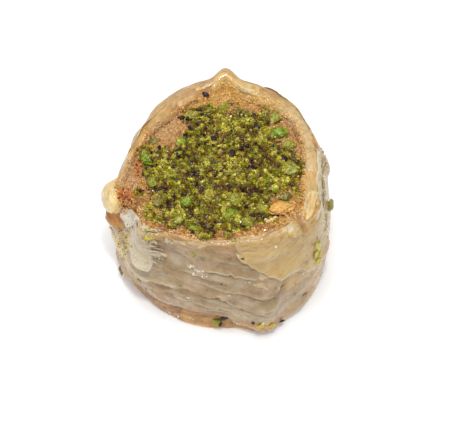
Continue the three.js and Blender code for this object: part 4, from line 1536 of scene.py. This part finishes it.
# %% Nut crumbs on the bare places and past the edge of the nuts
NUT_GRAINS = 11000
tries = 90000
turn_at, out_at = rng.uniform(0, 360, tries), BED_REACH * np.sqrt(rng.random(tries))
tx, ty = out_at * np.cos(np.radians(turn_at)), out_at * np.sin(np.radians(turn_at))
short = nut_edge(turn_at) - rim_under(tx, ty)[1]  # how far outside the edge of the nuts, as a way on the rim
bare_chance = 0.34 * (1 - 0.35 * paste_share(tx, ty))
bare = (heap_share(tx, ty) < 0.45) & (short < 0.1) & (rng.random(tries) < bare_chance)
in_front = front_share(turn_at)
behind = near(turn_at, 42, 34)
strewing = mix(0.3 * (1 - 0.7 * in_front) * np.exp(-short / 0.3), 0.4 * np.exp(-(short / 1.3) ** 2), behind)
strewing = strewing * (1 - 0.8 * near(turn_at, 87, 8))
strewn = (short > 0) & (out_at < wall_radius(turn_at, TOP) - 0.15) & (rng.random(tries) < strewing)
strewn = strewn | ((np.abs(short) < 0.5) & (rng.random(tries) < 0.45 * (1 - in_front)))
fiery = (fiery_share(tx, ty) > 0.5) & (tx < -13) & (ty > -9.6) & (short < 2.2) & (rng.random(tries) < 0.6)
kept = np.flatnonzero(bare | strewn | fiery)[:NUT_GRAINS]
print("nut crumbs", len(kept))
tx, ty = tx[kept], ty[kept]
size = 0.07 + 0.24 * rng.random(len(tx)) ** 3
halves = uneven_halves(size, 0.7, 1.4)
crumb_tint = nut_tint_at(tx, ty, rng.random(len(tx)))
crumb_tint = mix(crumb_tint, BRIGHT_TINT, 0.5 * smooth(short[kept] + 0.2)[:, None])
burnt = (rng.random(len(tx)) < 0.3 * fiery_share(tx, ty))[:, None]
crumb_tint = np.where(burnt, srgb(112, 44, 12), crumb_tint)
# Some small crumbs are pale cream, most near the orange patch: painted glints of syrup.
glint_chance = (0.18 + 0.3 * fiery_share(tx, ty)) * (size < 0.12)
glinting = (rng.random(len(tx)) < glint_chance)[:, None]
crumb_tint = np.where(glinting, GLINT_TINT, crumb_tint) * uneven_light(len(tx), 0.08)
stand = size * rng.uniform(-0.2, 0.5, len(tx))
crumb_tint = crumb_tint.clip(0, 1)
crumbs = scatter("nut_crumbs", places_on_top(tx, ty, stand), halves, crumb_tint, levels="grain", rough=0.2)

# %% [markdown]
# ### Skins, browned nut and strays
#
# Bits of pistachio skin are nearly black, glossy and a little purple. They are the darkest things
# on the piece, so they are placed one by one and filled in with smaller specks. The browned nut
# and the bits that cling to the outside are placed one by one too.

# %% Dark skins
# Place from the cup's axis and half length.
SKINS = [
    (-2.8, 16.7, 0.9), (-12.5, 6.0, 0.9), (-7.4, 11.3, 0.9), (-1.3, 5.3, 1.1), (4.2, 11.3, 1.0),
    (6.4, 11.5, 0.9), (6.9, 8.0, 1.0), (2.4, 1.2, 1.2), (1.5, -5.6, 0.9), (11.9, 0.6, 1.2),
    (13.6, 1.9, 0.8), (-5.6, -0.1, 0.7), (-5.8, -11.7, 0.8), (-1.2, -0.7, 0.7), (-0.2, 7.3, 0.6),
    (2.6, 4.2, 0.6), (-11.0, -1.4, 0.6), (5.2, -6.9, 0.8), (-8.0, 1.4, 0.8), (11.1, 5.1, 0.6),
    (8.0, 12.8, 0.35), (6.6, -1.6, 0.6), (-11.8, -4.0, 0.5),
]
rng = np.random.default_rng(31)  # from here on the shapes don't depend on how many crumbs were kept
parts = []
for x, y, long in SKINS:
    place = places_on_top(x, y, 0.25 * long)[0]
    half = long * np.array([0.9, 0.6, 0.45])
    points, triangles, tint = chunk(place, half, rng.uniform(0, 6.28), SKIN_BLACK, 0, 3)
    tint = mix(SKIN_BLACK, SKIN_PURPLE, rng.random()) * np.ones_like(tint)
    parts.append((points, triangles, tint))
skins = joined("pistachio_skins", parts)

SPECKS = 170
tries = 3000
tx, ty = rng.uniform(-15, 15, tries), rng.uniform(-16, 16, tries)
kept = np.flatnonzero((heap_share(tx, ty) > 0.3) & (np.hypot(tx, ty) < 15.2))[:SPECKS]
tx, ty = tx[kept], ty[kept]
size = 0.16 + 0.24 * rng.random(len(tx)) ** 2
halves = uneven_halves(size, 0.6, 1.4)
speck_tint = np.where(rng.random((len(tx), 1)) < 0.6, SKIN_BLACK, SKIN_PURPLE)
specks = scatter("skin_specks", places_on_map(tx, ty, size * 0.9), halves, speck_tint, levels=1)

# %% The browned chunk of nut
BROWNED = (11.2, -10.4)
place = places_on_top(*BROWNED, 0.9)[0]
points, triangles, tint = chunk(place, np.array([2.7, 1.8, 1.2]), math.radians(12), srgb(226, 166, 72), 0, 4)
below, before = place[2] - points[:, 2], place[1] - points[:, 1]
# Its underside and front are painted dark brown: partly the nut's roasted edge, partly painted shade under
# it.
low = smooth(below / 0.4 + before / 2.2 + 0.4 * noise(*points.T, 107) - 0.1)[:, None]
parts = [(points, triangles, mix(tint, srgb(104, 50, 14), low))]
for x, y in ((8.6, -13.0), (9.6, -13.4), (8.9, -14.0), (10.2, -12.8)):
    place = places_on_top(x, y, 0.3)[0]
    parts.append(chunk(place, rng.uniform(0.4, 0.6, 3), rng.uniform(0, 6.28), srgb(238, 200, 142), 0, 2))
browned_nut = joined("browned_nut", parts)

# %% Bits on the outside of the wrap
MUSTARD = srgb(204, 182, 30)
# Angle, way up the wall, half thickness, half length along the wall, half height, tone and share of skin.
STRAYS = [
    (354.0, 14.2, 0.7, 0.8, 1.8, srgb(150, 150, 76), 0.0),
    (206.4, 3.0, 0.4, 0.6, 1.5, srgb(104, 64, 34), 0.0),
    (268.0, 2.4, 0.6, 0.9, 0.8, YELLOW_GREEN, 0.2), (270.0, 2.2, 0.7, 0.5, 0.7, SKIN_BLACK, 0.9),
    (272.5, 4.8, 0.5, 0.8, 0.6, SKIN_BLACK, 0.9), (286, 5.0, 0.25, 0.35, 0.3, SKIN_BLACK, 0.9),
    (289, 4.6, 0.35, 0.9, 0.6, MUSTARD, 0.0), (281, 2.4, 0.35, 0.9, 0.5, MUSTARD, 0.0),
    (293, 4.0, 0.3, 0.7, 0.5, MUSTARD, 0.0), (256, 21.8, 0.3, 0.35, 0.7, YELLOW_GREEN, 0.0),
    (225, 8.4, 0.35, 0.5, 0.5, MUSTARD, 0.0), (238, 10.8, 0.25, 0.5, 0.35, YELLOW_GREEN, 0.0),
    (234, 11.4, 0.2, 0.5, 0.3, YELLOW_GREEN, 0.0), (282, 21.8, 0.2, 0.4, 0.22, SKIN_PURPLE, 0.8),
    (271, 15.2, 0.12, 0.2, 0.2, SKIN_PURPLE, 0.9), (231.5, 23.6, 0.4, 0.9, 0.4, MUSTARD, 0.0),
    (230, 24.4, 0.35, 0.5, 0.4, YELLOW_GREEN, 0.0), (278, 24.6, 0.3, 0.5, 0.4, YELLOW_GREEN, 0.0),
    (320.9, 18.3, 0.18, 0.6, 0.9, MUSTARD, 0.0), (321.9, 17.0, 0.22, 1.0, 1.6, MUSTARD, 0.0),
    (320.6, 15.6, 0.22, 1.0, 1.6, MUSTARD, 0.0), (322.4, 14.6, 0.18, 0.7, 0.8, MUSTARD, 0.0),
    (320.2, 13.8, 0.2, 0.7, 0.9, MUSTARD, 0.0), (299, 2.3, 0.2, 0.7, 0.25, SKIN_PURPLE, 0.9),
    (150, 7.0, 0.4, 0.7, 0.6, OLIVE, 0.2), (62, 13.5, 0.4, 0.7, 0.8, YELLOW_GREEN, 0.2),
    (100, 20.0, 0.3, 0.4, 0.4, GREEN, 0.1),
]
parts = []
for angle, way, thick, along, tall, tone, skin_share in STRAYS:
    place, out = outermost([angle], [way])
    place = place[0] + 0.5 * thick * out[0]
    parts.append(chunk(place, np.array([thick, along, tall]), math.radians(angle), tone, skin_share, 3))
strays = joined("stray_bits", parts)

# %% Dust on the outside of the wrap
# Angle, way, half width in degrees, half height and count of each dusty place.
DUST = [
    (209, 14.5, 4, 4, 90), (209, 10.5, 4, 2.5, 30), (342, 20.8, 9, 0.9, 90), (356, 21.0, 8, 1.1, 110),
    (10, 20.6, 8, 1.4, 60), (335, 18, 6, 4, 40), (231, 24.2, 4, 0.8, 60), (250, 14, 30, 8, 30),
    (321.5, 16.4, 1.6, 2.6, 120),
]
dust_points, dust_sizes, dust_tints = [], [], []
for at, way, wide, tall, count in DUST:
    angles = rng.normal(at, wide * 0.6, count)
    point, out = outermost(angles, rng.normal(way, tall * 0.6, count).clip(1.5, TOP + 2))
    size = 0.06 + 0.13 * rng.random(count) ** 2.5
    dust_points.append(point + out * size[:, None] * 0.4)
    dust_sizes.append(size)
    dust_tints.append(mix(MEAL_TINTS[rng.integers(0, 7, count)], srgb(206, 196, 140), 0.35))
dust_sizes = np.concatenate(dust_sizes)
halves = uneven_halves(dust_sizes, 0.7, 1.4)
dust = scatter("pistachio_dust", np.concatenate(dust_points), halves, np.concatenate(dust_tints))

# %% [markdown]
# ### Syrup, and flecks that are painted glints
#
# Syrup stands on the wet sheets in small clear beads. The glints of the wet wall are painted: white
# flecks in patches and in short rows along the crests of the folds, made as tiny pale crumbs.

# %% Syrup drops
DROPS = 90
angles = rng.uniform(205, 345, DROPS)
ways_up = rng.uniform(1.5, TOP - 1, DROPS)
point, out = outermost(angles, ways_up)
size = 0.14 + 0.24 * rng.random(DROPS) ** 2.5
halves = uneven_halves(size, 0.7, 1.2)
drops = scatter("syrup_drops", point, halves, np.ones((DROPS, 3)), levels=2, rough=0.0, flat=False)

# %% Flecks that are painted glints
# Angle, way, half width in degrees, half height and count of each patch of flecks.
GLINT_FLECKS = [
    (254.5, 18.4, 1.6, 0.35, 26), (259, 17.8, 2.2, 0.3, 24), (257, 16.6, 1.6, 0.3, 14),
    (262.5, 17.0, 1.2, 0.6, 10),
    (300, 22.6, 0.9, 0.3, 10), (284, 15.8, 1.4, 0.2, 8), (259, 14.9, 1.2, 0.2, 6), (275, 12.6, 1.5, 0.3, 6),
    (254, 10.0, 1.0, 0.2, 5), (291, 4.8, 1.6, 0.3, 8), (283, 6.0, 1.4, 0.2, 7), (253, 5.5, 1.6, 0.3, 8),
    (235, 4.5, 1.5, 0.3, 7), (299, 15.2, 0.8, 0.3, 6), (242.5, 1.2, 1.6, 0.3, 7), (247, 1.4, 1.0, 0.2, 5),
    (255, 2.6, 1.6, 0.4, 8), (263.5, 5.0, 1.4, 0.3, 6), (277, 3.2, 1.5, 0.5, 6), (270, 24.2, 6, 0.15, 14),
    (288, 24.3, 6, 0.15, 12), (228, 17.4, 1.0, 1.2, 8), (312, 13.2, 1.0, 0.3, 5), (303, 8.0, 2.0, 0.6, 5),
]
glint_points, glint_sizes = [], []
for at, way, wide, tall, count in GLINT_FLECKS:
    angles = rng.normal(at, wide * 0.6, count)
    point, out = outermost(angles, rng.normal(way, tall * 0.6, count).clip(0.9))
    size = 0.05 + 0.11 * rng.random(count) ** 2
    glint_points.append(point + out * size[:, None] * 0.3)
    glint_sizes.append(size)
glint_sizes = np.concatenate(glint_sizes)
halves = uneven_halves(glint_sizes, 0.5, 1.8)
# Near-white tint of the painted glints.
glint_tints = np.tile(srgb(250, 244, 230), (len(glint_sizes), 1))
glint_flecks = scatter("painted_glints", np.concatenate(glint_points), halves, glint_tints)

# %% [markdown]
# ## Finishes
#
# Three effects are shared by several finishes, so each is a node group: mottling of one colour into
# another, a fine grain for bumps, and patches of wet and dry for the gloss. The groups put out only
# colours and values. The shader itself stays in each material.


# %% Node helpers
def new_group(name, inputs, outputs):
    """An empty node group with named sockets."""
    group = bpy.data.node_groups.new(name, "ShaderNodeTree")
    for label, kind, value in inputs:
        socket = group.interface.new_socket(label, in_out="INPUT", socket_type=kind)
        if value is not None:
            socket.default_value = value
    for label, kind in outputs:
        group.interface.new_socket(label, in_out="OUTPUT", socket_type=kind)
    return group, group.nodes.new("NodeGroupInput"), group.nodes.new("NodeGroupOutput")


def node(tree, kind, **settings):
    made_node = tree.nodes.new(kind)
    for key, value in settings.items():
        setattr(made_node, key, value)
    return made_node


def feed(tree, value, socket):
    """Links another node's output to a socket, or sets the socket to a plain number or colour."""
    if hasattr(value, "links"):
        tree.links.new(value, socket)
    elif np.isscalar(value):
        socket.default_value = value
    else:
        socket.default_value = (*value, 1)


def noise_node(tree, vector, scale, detail=4.0, roughness=0.55):
    texture = node(tree, "ShaderNodeTexNoise")
    set_inputs(texture, {"Detail": detail, "Roughness": roughness})
    tree.links.new(vector, texture.inputs["Vector"])
    feed(tree, scale, texture.inputs["Scale"])
    return texture.outputs["Fac"]


def multiplied(tree, first, second):
    """The product of two values. Each is a socket or a plain number."""
    product = node(tree, "ShaderNodeMath", operation="MULTIPLY")
    feed(tree, first, product.inputs[0])
    feed(tree, second, product.inputs[1])
    return product.outputs["Value"]


def ranged(tree, value, low, high, to_low=0.0, to_high=1.0):
    """A value stretched from one range to another, smoothly."""
    stretch = node(tree, "ShaderNodeMapRange", interpolation_type="SMOOTHSTEP")
    tree.links.new(value, stretch.inputs["Value"])
    for label, number in (("From Min", low), ("From Max", high), ("To Min", to_low), ("To Max", to_high)):
        feed(tree, number, stretch.inputs[label])
    return stretch.outputs["Result"]


def blended(tree, share, first, second, mode="MIX"):
    """Two colours mixed by a share. Each is a socket or a plain colour."""
    blend = node(tree, "ShaderNodeMix", data_type="RGBA", blend_type=mode)
    for value, socket in ((share, blend.inputs[0]), (first, blend.inputs[6]), (second, blend.inputs[7])):
        feed(tree, value, socket)
    return blend.outputs[2]


# %% Shared effect: mottle
mottle, inside, outside = new_group(
    "Mottle",
    [("Vector", "NodeSocketVector", None), ("Scale", "NodeSocketFloat", 300.0),
     ("First", "NodeSocketColor", (1, 1, 1, 1)), ("Second", "NodeSocketColor", (0, 0, 0, 1))],
    [("Color", "NodeSocketColor"), ("Share", "NodeSocketFloat")],
)
patches = noise_node(mottle, inside.outputs["Vector"], inside.outputs["Scale"], 5.0, 0.6)
share = ranged(mottle, patches, 0.36, 0.64)
colour = blended(mottle, share, inside.outputs["First"], inside.outputs["Second"])
mottle.links.new(colour, outside.inputs["Color"])
mottle.links.new(share, outside.inputs["Share"])

# %% Shared effect: grain
grain, inside, outside = new_group(
    "Grain",
    [("Vector", "NodeSocketVector", None), ("Scale", "NodeSocketFloat", 1500.0)],
    [("Height", "NodeSocketFloat")],
)
height = noise_node(grain, inside.outputs["Vector"], inside.outputs["Scale"], 3.0, 0.7)
grain.links.new(height, outside.inputs["Height"])

# %% Shared effect: wet patches
wet, inside, outside = new_group(
    "Wet patches",
    [("Vector", "NodeSocketVector", None), ("Scale", "NodeSocketFloat", 400.0),
     ("Wet", "NodeSocketFloat", 0.15), ("Dry", "NodeSocketFloat", 0.6)],
    [("Roughness", "NodeSocketFloat")],
)
patches = noise_node(wet, inside.outputs["Vector"], inside.outputs["Scale"], 3.0)
roughness = ranged(wet, patches, 0.35, 0.65, inside.outputs["Wet"], inside.outputs["Dry"])
wet.links.new(roughness, outside.inputs["Roughness"])


# %% Placing a shared effect in a material
def effect(tree, group, **values):
    placed = node(tree, "ShaderNodeGroup", node_tree=group)
    for label, value in values.items():
        feed(tree, value, placed.inputs[label])
    return placed


def mottled_colour(tree, place, scale, tones):
    """One tone mottled into another, as a socket."""
    return effect(tree, mottle, Vector=place, Scale=scale, First=tones[0], Second=tones[1]).outputs["Color"]


def attribute(tree, name, output="Fac"):
    return node(tree, "ShaderNodeAttribute", attribute_name=name).outputs[output]


def new_material(name):
    material = bpy.data.materials.new(name)
    material.use_nodes = True
    tree = material.node_tree
    return material, tree, tree.nodes["Principled BSDF"], node(tree, "ShaderNodeTexCoord").outputs["Object"]


def bumped(tree, shader, height, strength, distance_mm):
    bump = node(tree, "ShaderNodeBump")
    set_inputs(bump, {"Strength": strength, "Distance": distance_mm * MM})
    tree.links.new(height, bump.inputs["Height"])
    tree.links.new(bump.outputs["Normal"], shader.inputs["Normal"])


# %% [markdown]
# ### Filo
#
# Dry filo is cream, soaked filo is grey-beige and slightly see-through, thick filo is buttery yellow
# and toasted filo runs from gold to caramel. The masks from the form choose between them, each
# mottled, and light passes a little way through all of them. The fibres of the dough lie along the
# wrap, so they are noise that is stretched that way, and they are strongest on the rim.

# %% The filo finish
DOUGH = (srgb(214, 178, 122), srgb(192, 152, 96))
SOAKED = (srgb(198, 173, 141), srgb(168, 140, 103))
TOASTED = (srgb(218, 162, 82), srgb(162, 102, 34))
BUTTER = (srgb(240, 212, 142), srgb(228, 186, 106))
AMBER = (srgb(216, 142, 18), srgb(168, 98, 8))
DRY = (srgb(242, 230, 206), srgb(220, 204, 172))
WHITE = (srgb(252, 243, 234), srgb(240, 227, 214))
HUES = ((1.03, 0.975, 0.99), (0.985, 1.0, 0.9))  # factors from rosier to yellower
SHADE_AND_BURN = srgb(112, 78, 42)
EDGE_HIGHLIGHT = srgb(236, 222, 192)
FIBRE_STRETCH = 0.16  # how much finer the noise is up the wall than along it, as a share


def filo_finish(name, alpha=1.0):
    material, tree, shader, place = new_material(name)
    lie = node(tree, "ShaderNodeCombineXYZ")
    tree.links.new(multiplied(tree, attribute(tree, "arc"), FIBRE_STRETCH), lie.inputs["X"])
    tree.links.new(attribute(tree, "way"), lie.inputs["Y"])
    fibres = noise_node(tree, lie.outputs["Vector"], 3.2, 6.0, 0.7)
    colour = mottled_colour(tree, place, 260.0, DOUGH)
    for mask, tones, scale in (
        ("soak", SOAKED, 300.0), ("butter", BUTTER, 420.0), ("toast", TOASTED, 380.0),
        ("amber", AMBER, 520.0), ("pale", DRY, 600.0), ("white", WHITE, 500.0),
    ):
        colour = blended(tree, attribute(tree, mask), colour, mottled_colour(tree, place, scale, tones))
    streak = attribute(tree, "streak")
    for low, high, tone in ((0.46, 0.70, (0.62, 0.5, 0.38)), (0.48, 0.28, (1.2, 1.18, 1.12))):
        share = multiplied(tree, ranged(tree, fibres, low, high), streak)
        colour = blended(tree, share, colour, blended(tree, 1.0, colour, tone, "MULTIPLY"))
    hue = mottled_colour(tree, place, 170.0, HUES)
    colour = blended(tree, 0.6, colour, blended(tree, 1.0, colour, hue, "MULTIPLY"))
    # Painted shade in furrows, creases and seams, and the brown of burnt sheet edges, from the furrow mask.
    colour = blended(tree, multiplied(tree, attribute(tree, "furrow"), 0.62), colour, SHADE_AND_BURN)
    # Painted highlight along the free edges of the sheets, from the edge mask.
    colour = blended(tree, attribute(tree, "edge"), colour, EDGE_HIGHLIGHT)
    tree.links.new(colour, shader.inputs["Base Color"])
    gloss = effect(tree, wet, Vector=place, Scale=520.0, Wet=0.2, Dry=0.5).outputs["Roughness"]
    tree.links.new(gloss, shader.inputs["Roughness"])
    bumped(tree, shader, fibres, 0.7, 0.16)
    set_inputs(shader, {
        "Subsurface Weight": 0.2, "Subsurface Radius": (1.0, 0.65, 0.38), "Subsurface Scale": 0.8 * MM,
        "Coat Weight": 0.35, "Coat Roughness": 0.06, "IOR": 1.42, "Alpha": alpha,
    })
    return material


filo = filo_finish("soaked filo")
thin_filo = filo_finish("thin filo", alpha=0.88)
THIN = (
    "hanging_corner", "pale_corner", "upright_ridge", "rim_outer_right", "rim_outer_left", "rim_outer_back",
    "right_slit_sheet", "front_sheet_top", "torn_flakes",
)
for piece in filo_pieces:
    piece.data.materials.append(thin_filo if piece.name in THIN else filo)


# %% [markdown]
# ### Nuts and pistachio
#
# Every crumb already has its own tint, so these finishes only add mottling inside a crumb, grain,
# and a gloss of syrup. Pistachio lets light through, which keeps its green bright.

# %% The nut finishes
CRUMB_SHADES = ((1.0, 1.0, 1.0), (0.45, 0.42, 0.36))


def nut_finish(name, subsurface, wet_rough, dry_rough, coat, grain_size, mottled=0.35):
    material, tree, shader, place = new_material(name)
    tint = attribute(tree, "tint", "Color")
    shade = mottled_colour(tree, place, 1400.0, CRUMB_SHADES)
    colour = blended(tree, mottled, tint, blended(tree, 1.0, tint, shade, "MULTIPLY"))
    tree.links.new(colour, shader.inputs["Base Color"])
    gloss = effect(tree, wet, Vector=place, Scale=900.0, Wet=wet_rough, Dry=dry_rough).outputs["Roughness"]
    tree.links.new(gloss, shader.inputs["Roughness"])
    bumped(tree, shader, effect(tree, grain, Vector=place, Scale=grain_size).outputs["Height"], 0.5, 0.12)
    set_inputs(shader, {
        "Subsurface Weight": subsurface, "Subsurface Radius": (0.8, 0.6, 0.25), "Subsurface Scale": 0.8 * MM,
        "Coat Weight": coat, "Coat Roughness": 0.1,
    })
    return material


nut = nut_finish("ground nuts", 0.12, 0.2, 0.6, 0.4, 2600.0, 0.25)
pistachio = nut_finish("chopped pistachio", 0.1, 0.24, 0.65, 0.15, 2200.0, 0.35)
dark_skin = nut_finish("pistachio skin", 0.0, 0.2, 0.6, 0.25, 1800.0, 0.2)
for piece, material in (
    (nut_bed, nut), (crumbs, nut), (browned_nut, nut), (glint_flecks, nut), (meal, pistachio), (flour, pistachio),
    (chunks, pistachio), (dust, pistachio), (strays, pistachio), (skins, dark_skin), (specks, dark_skin),
):
    piece.data.materials.append(material)

# %% The syrup finish
syrup, _, shader, _ = new_material("clear syrup")
set_inputs(shader, {
    "Base Color": (0.98, 0.93, 0.82, 1), "Roughness": 0.03, "Transmission Weight": 1.0, "IOR": 1.4,
})
drops.data.materials.append(syrup)

# %% [markdown]
# ## Fixing the pieces to the frame
#
# All pieces ride on the one body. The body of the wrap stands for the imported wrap, and the nut bed
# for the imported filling.

# %% Riding and replacing
for piece in made.values():
    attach(piece, "root")
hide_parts("filo_wrap")
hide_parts("nut_filling")
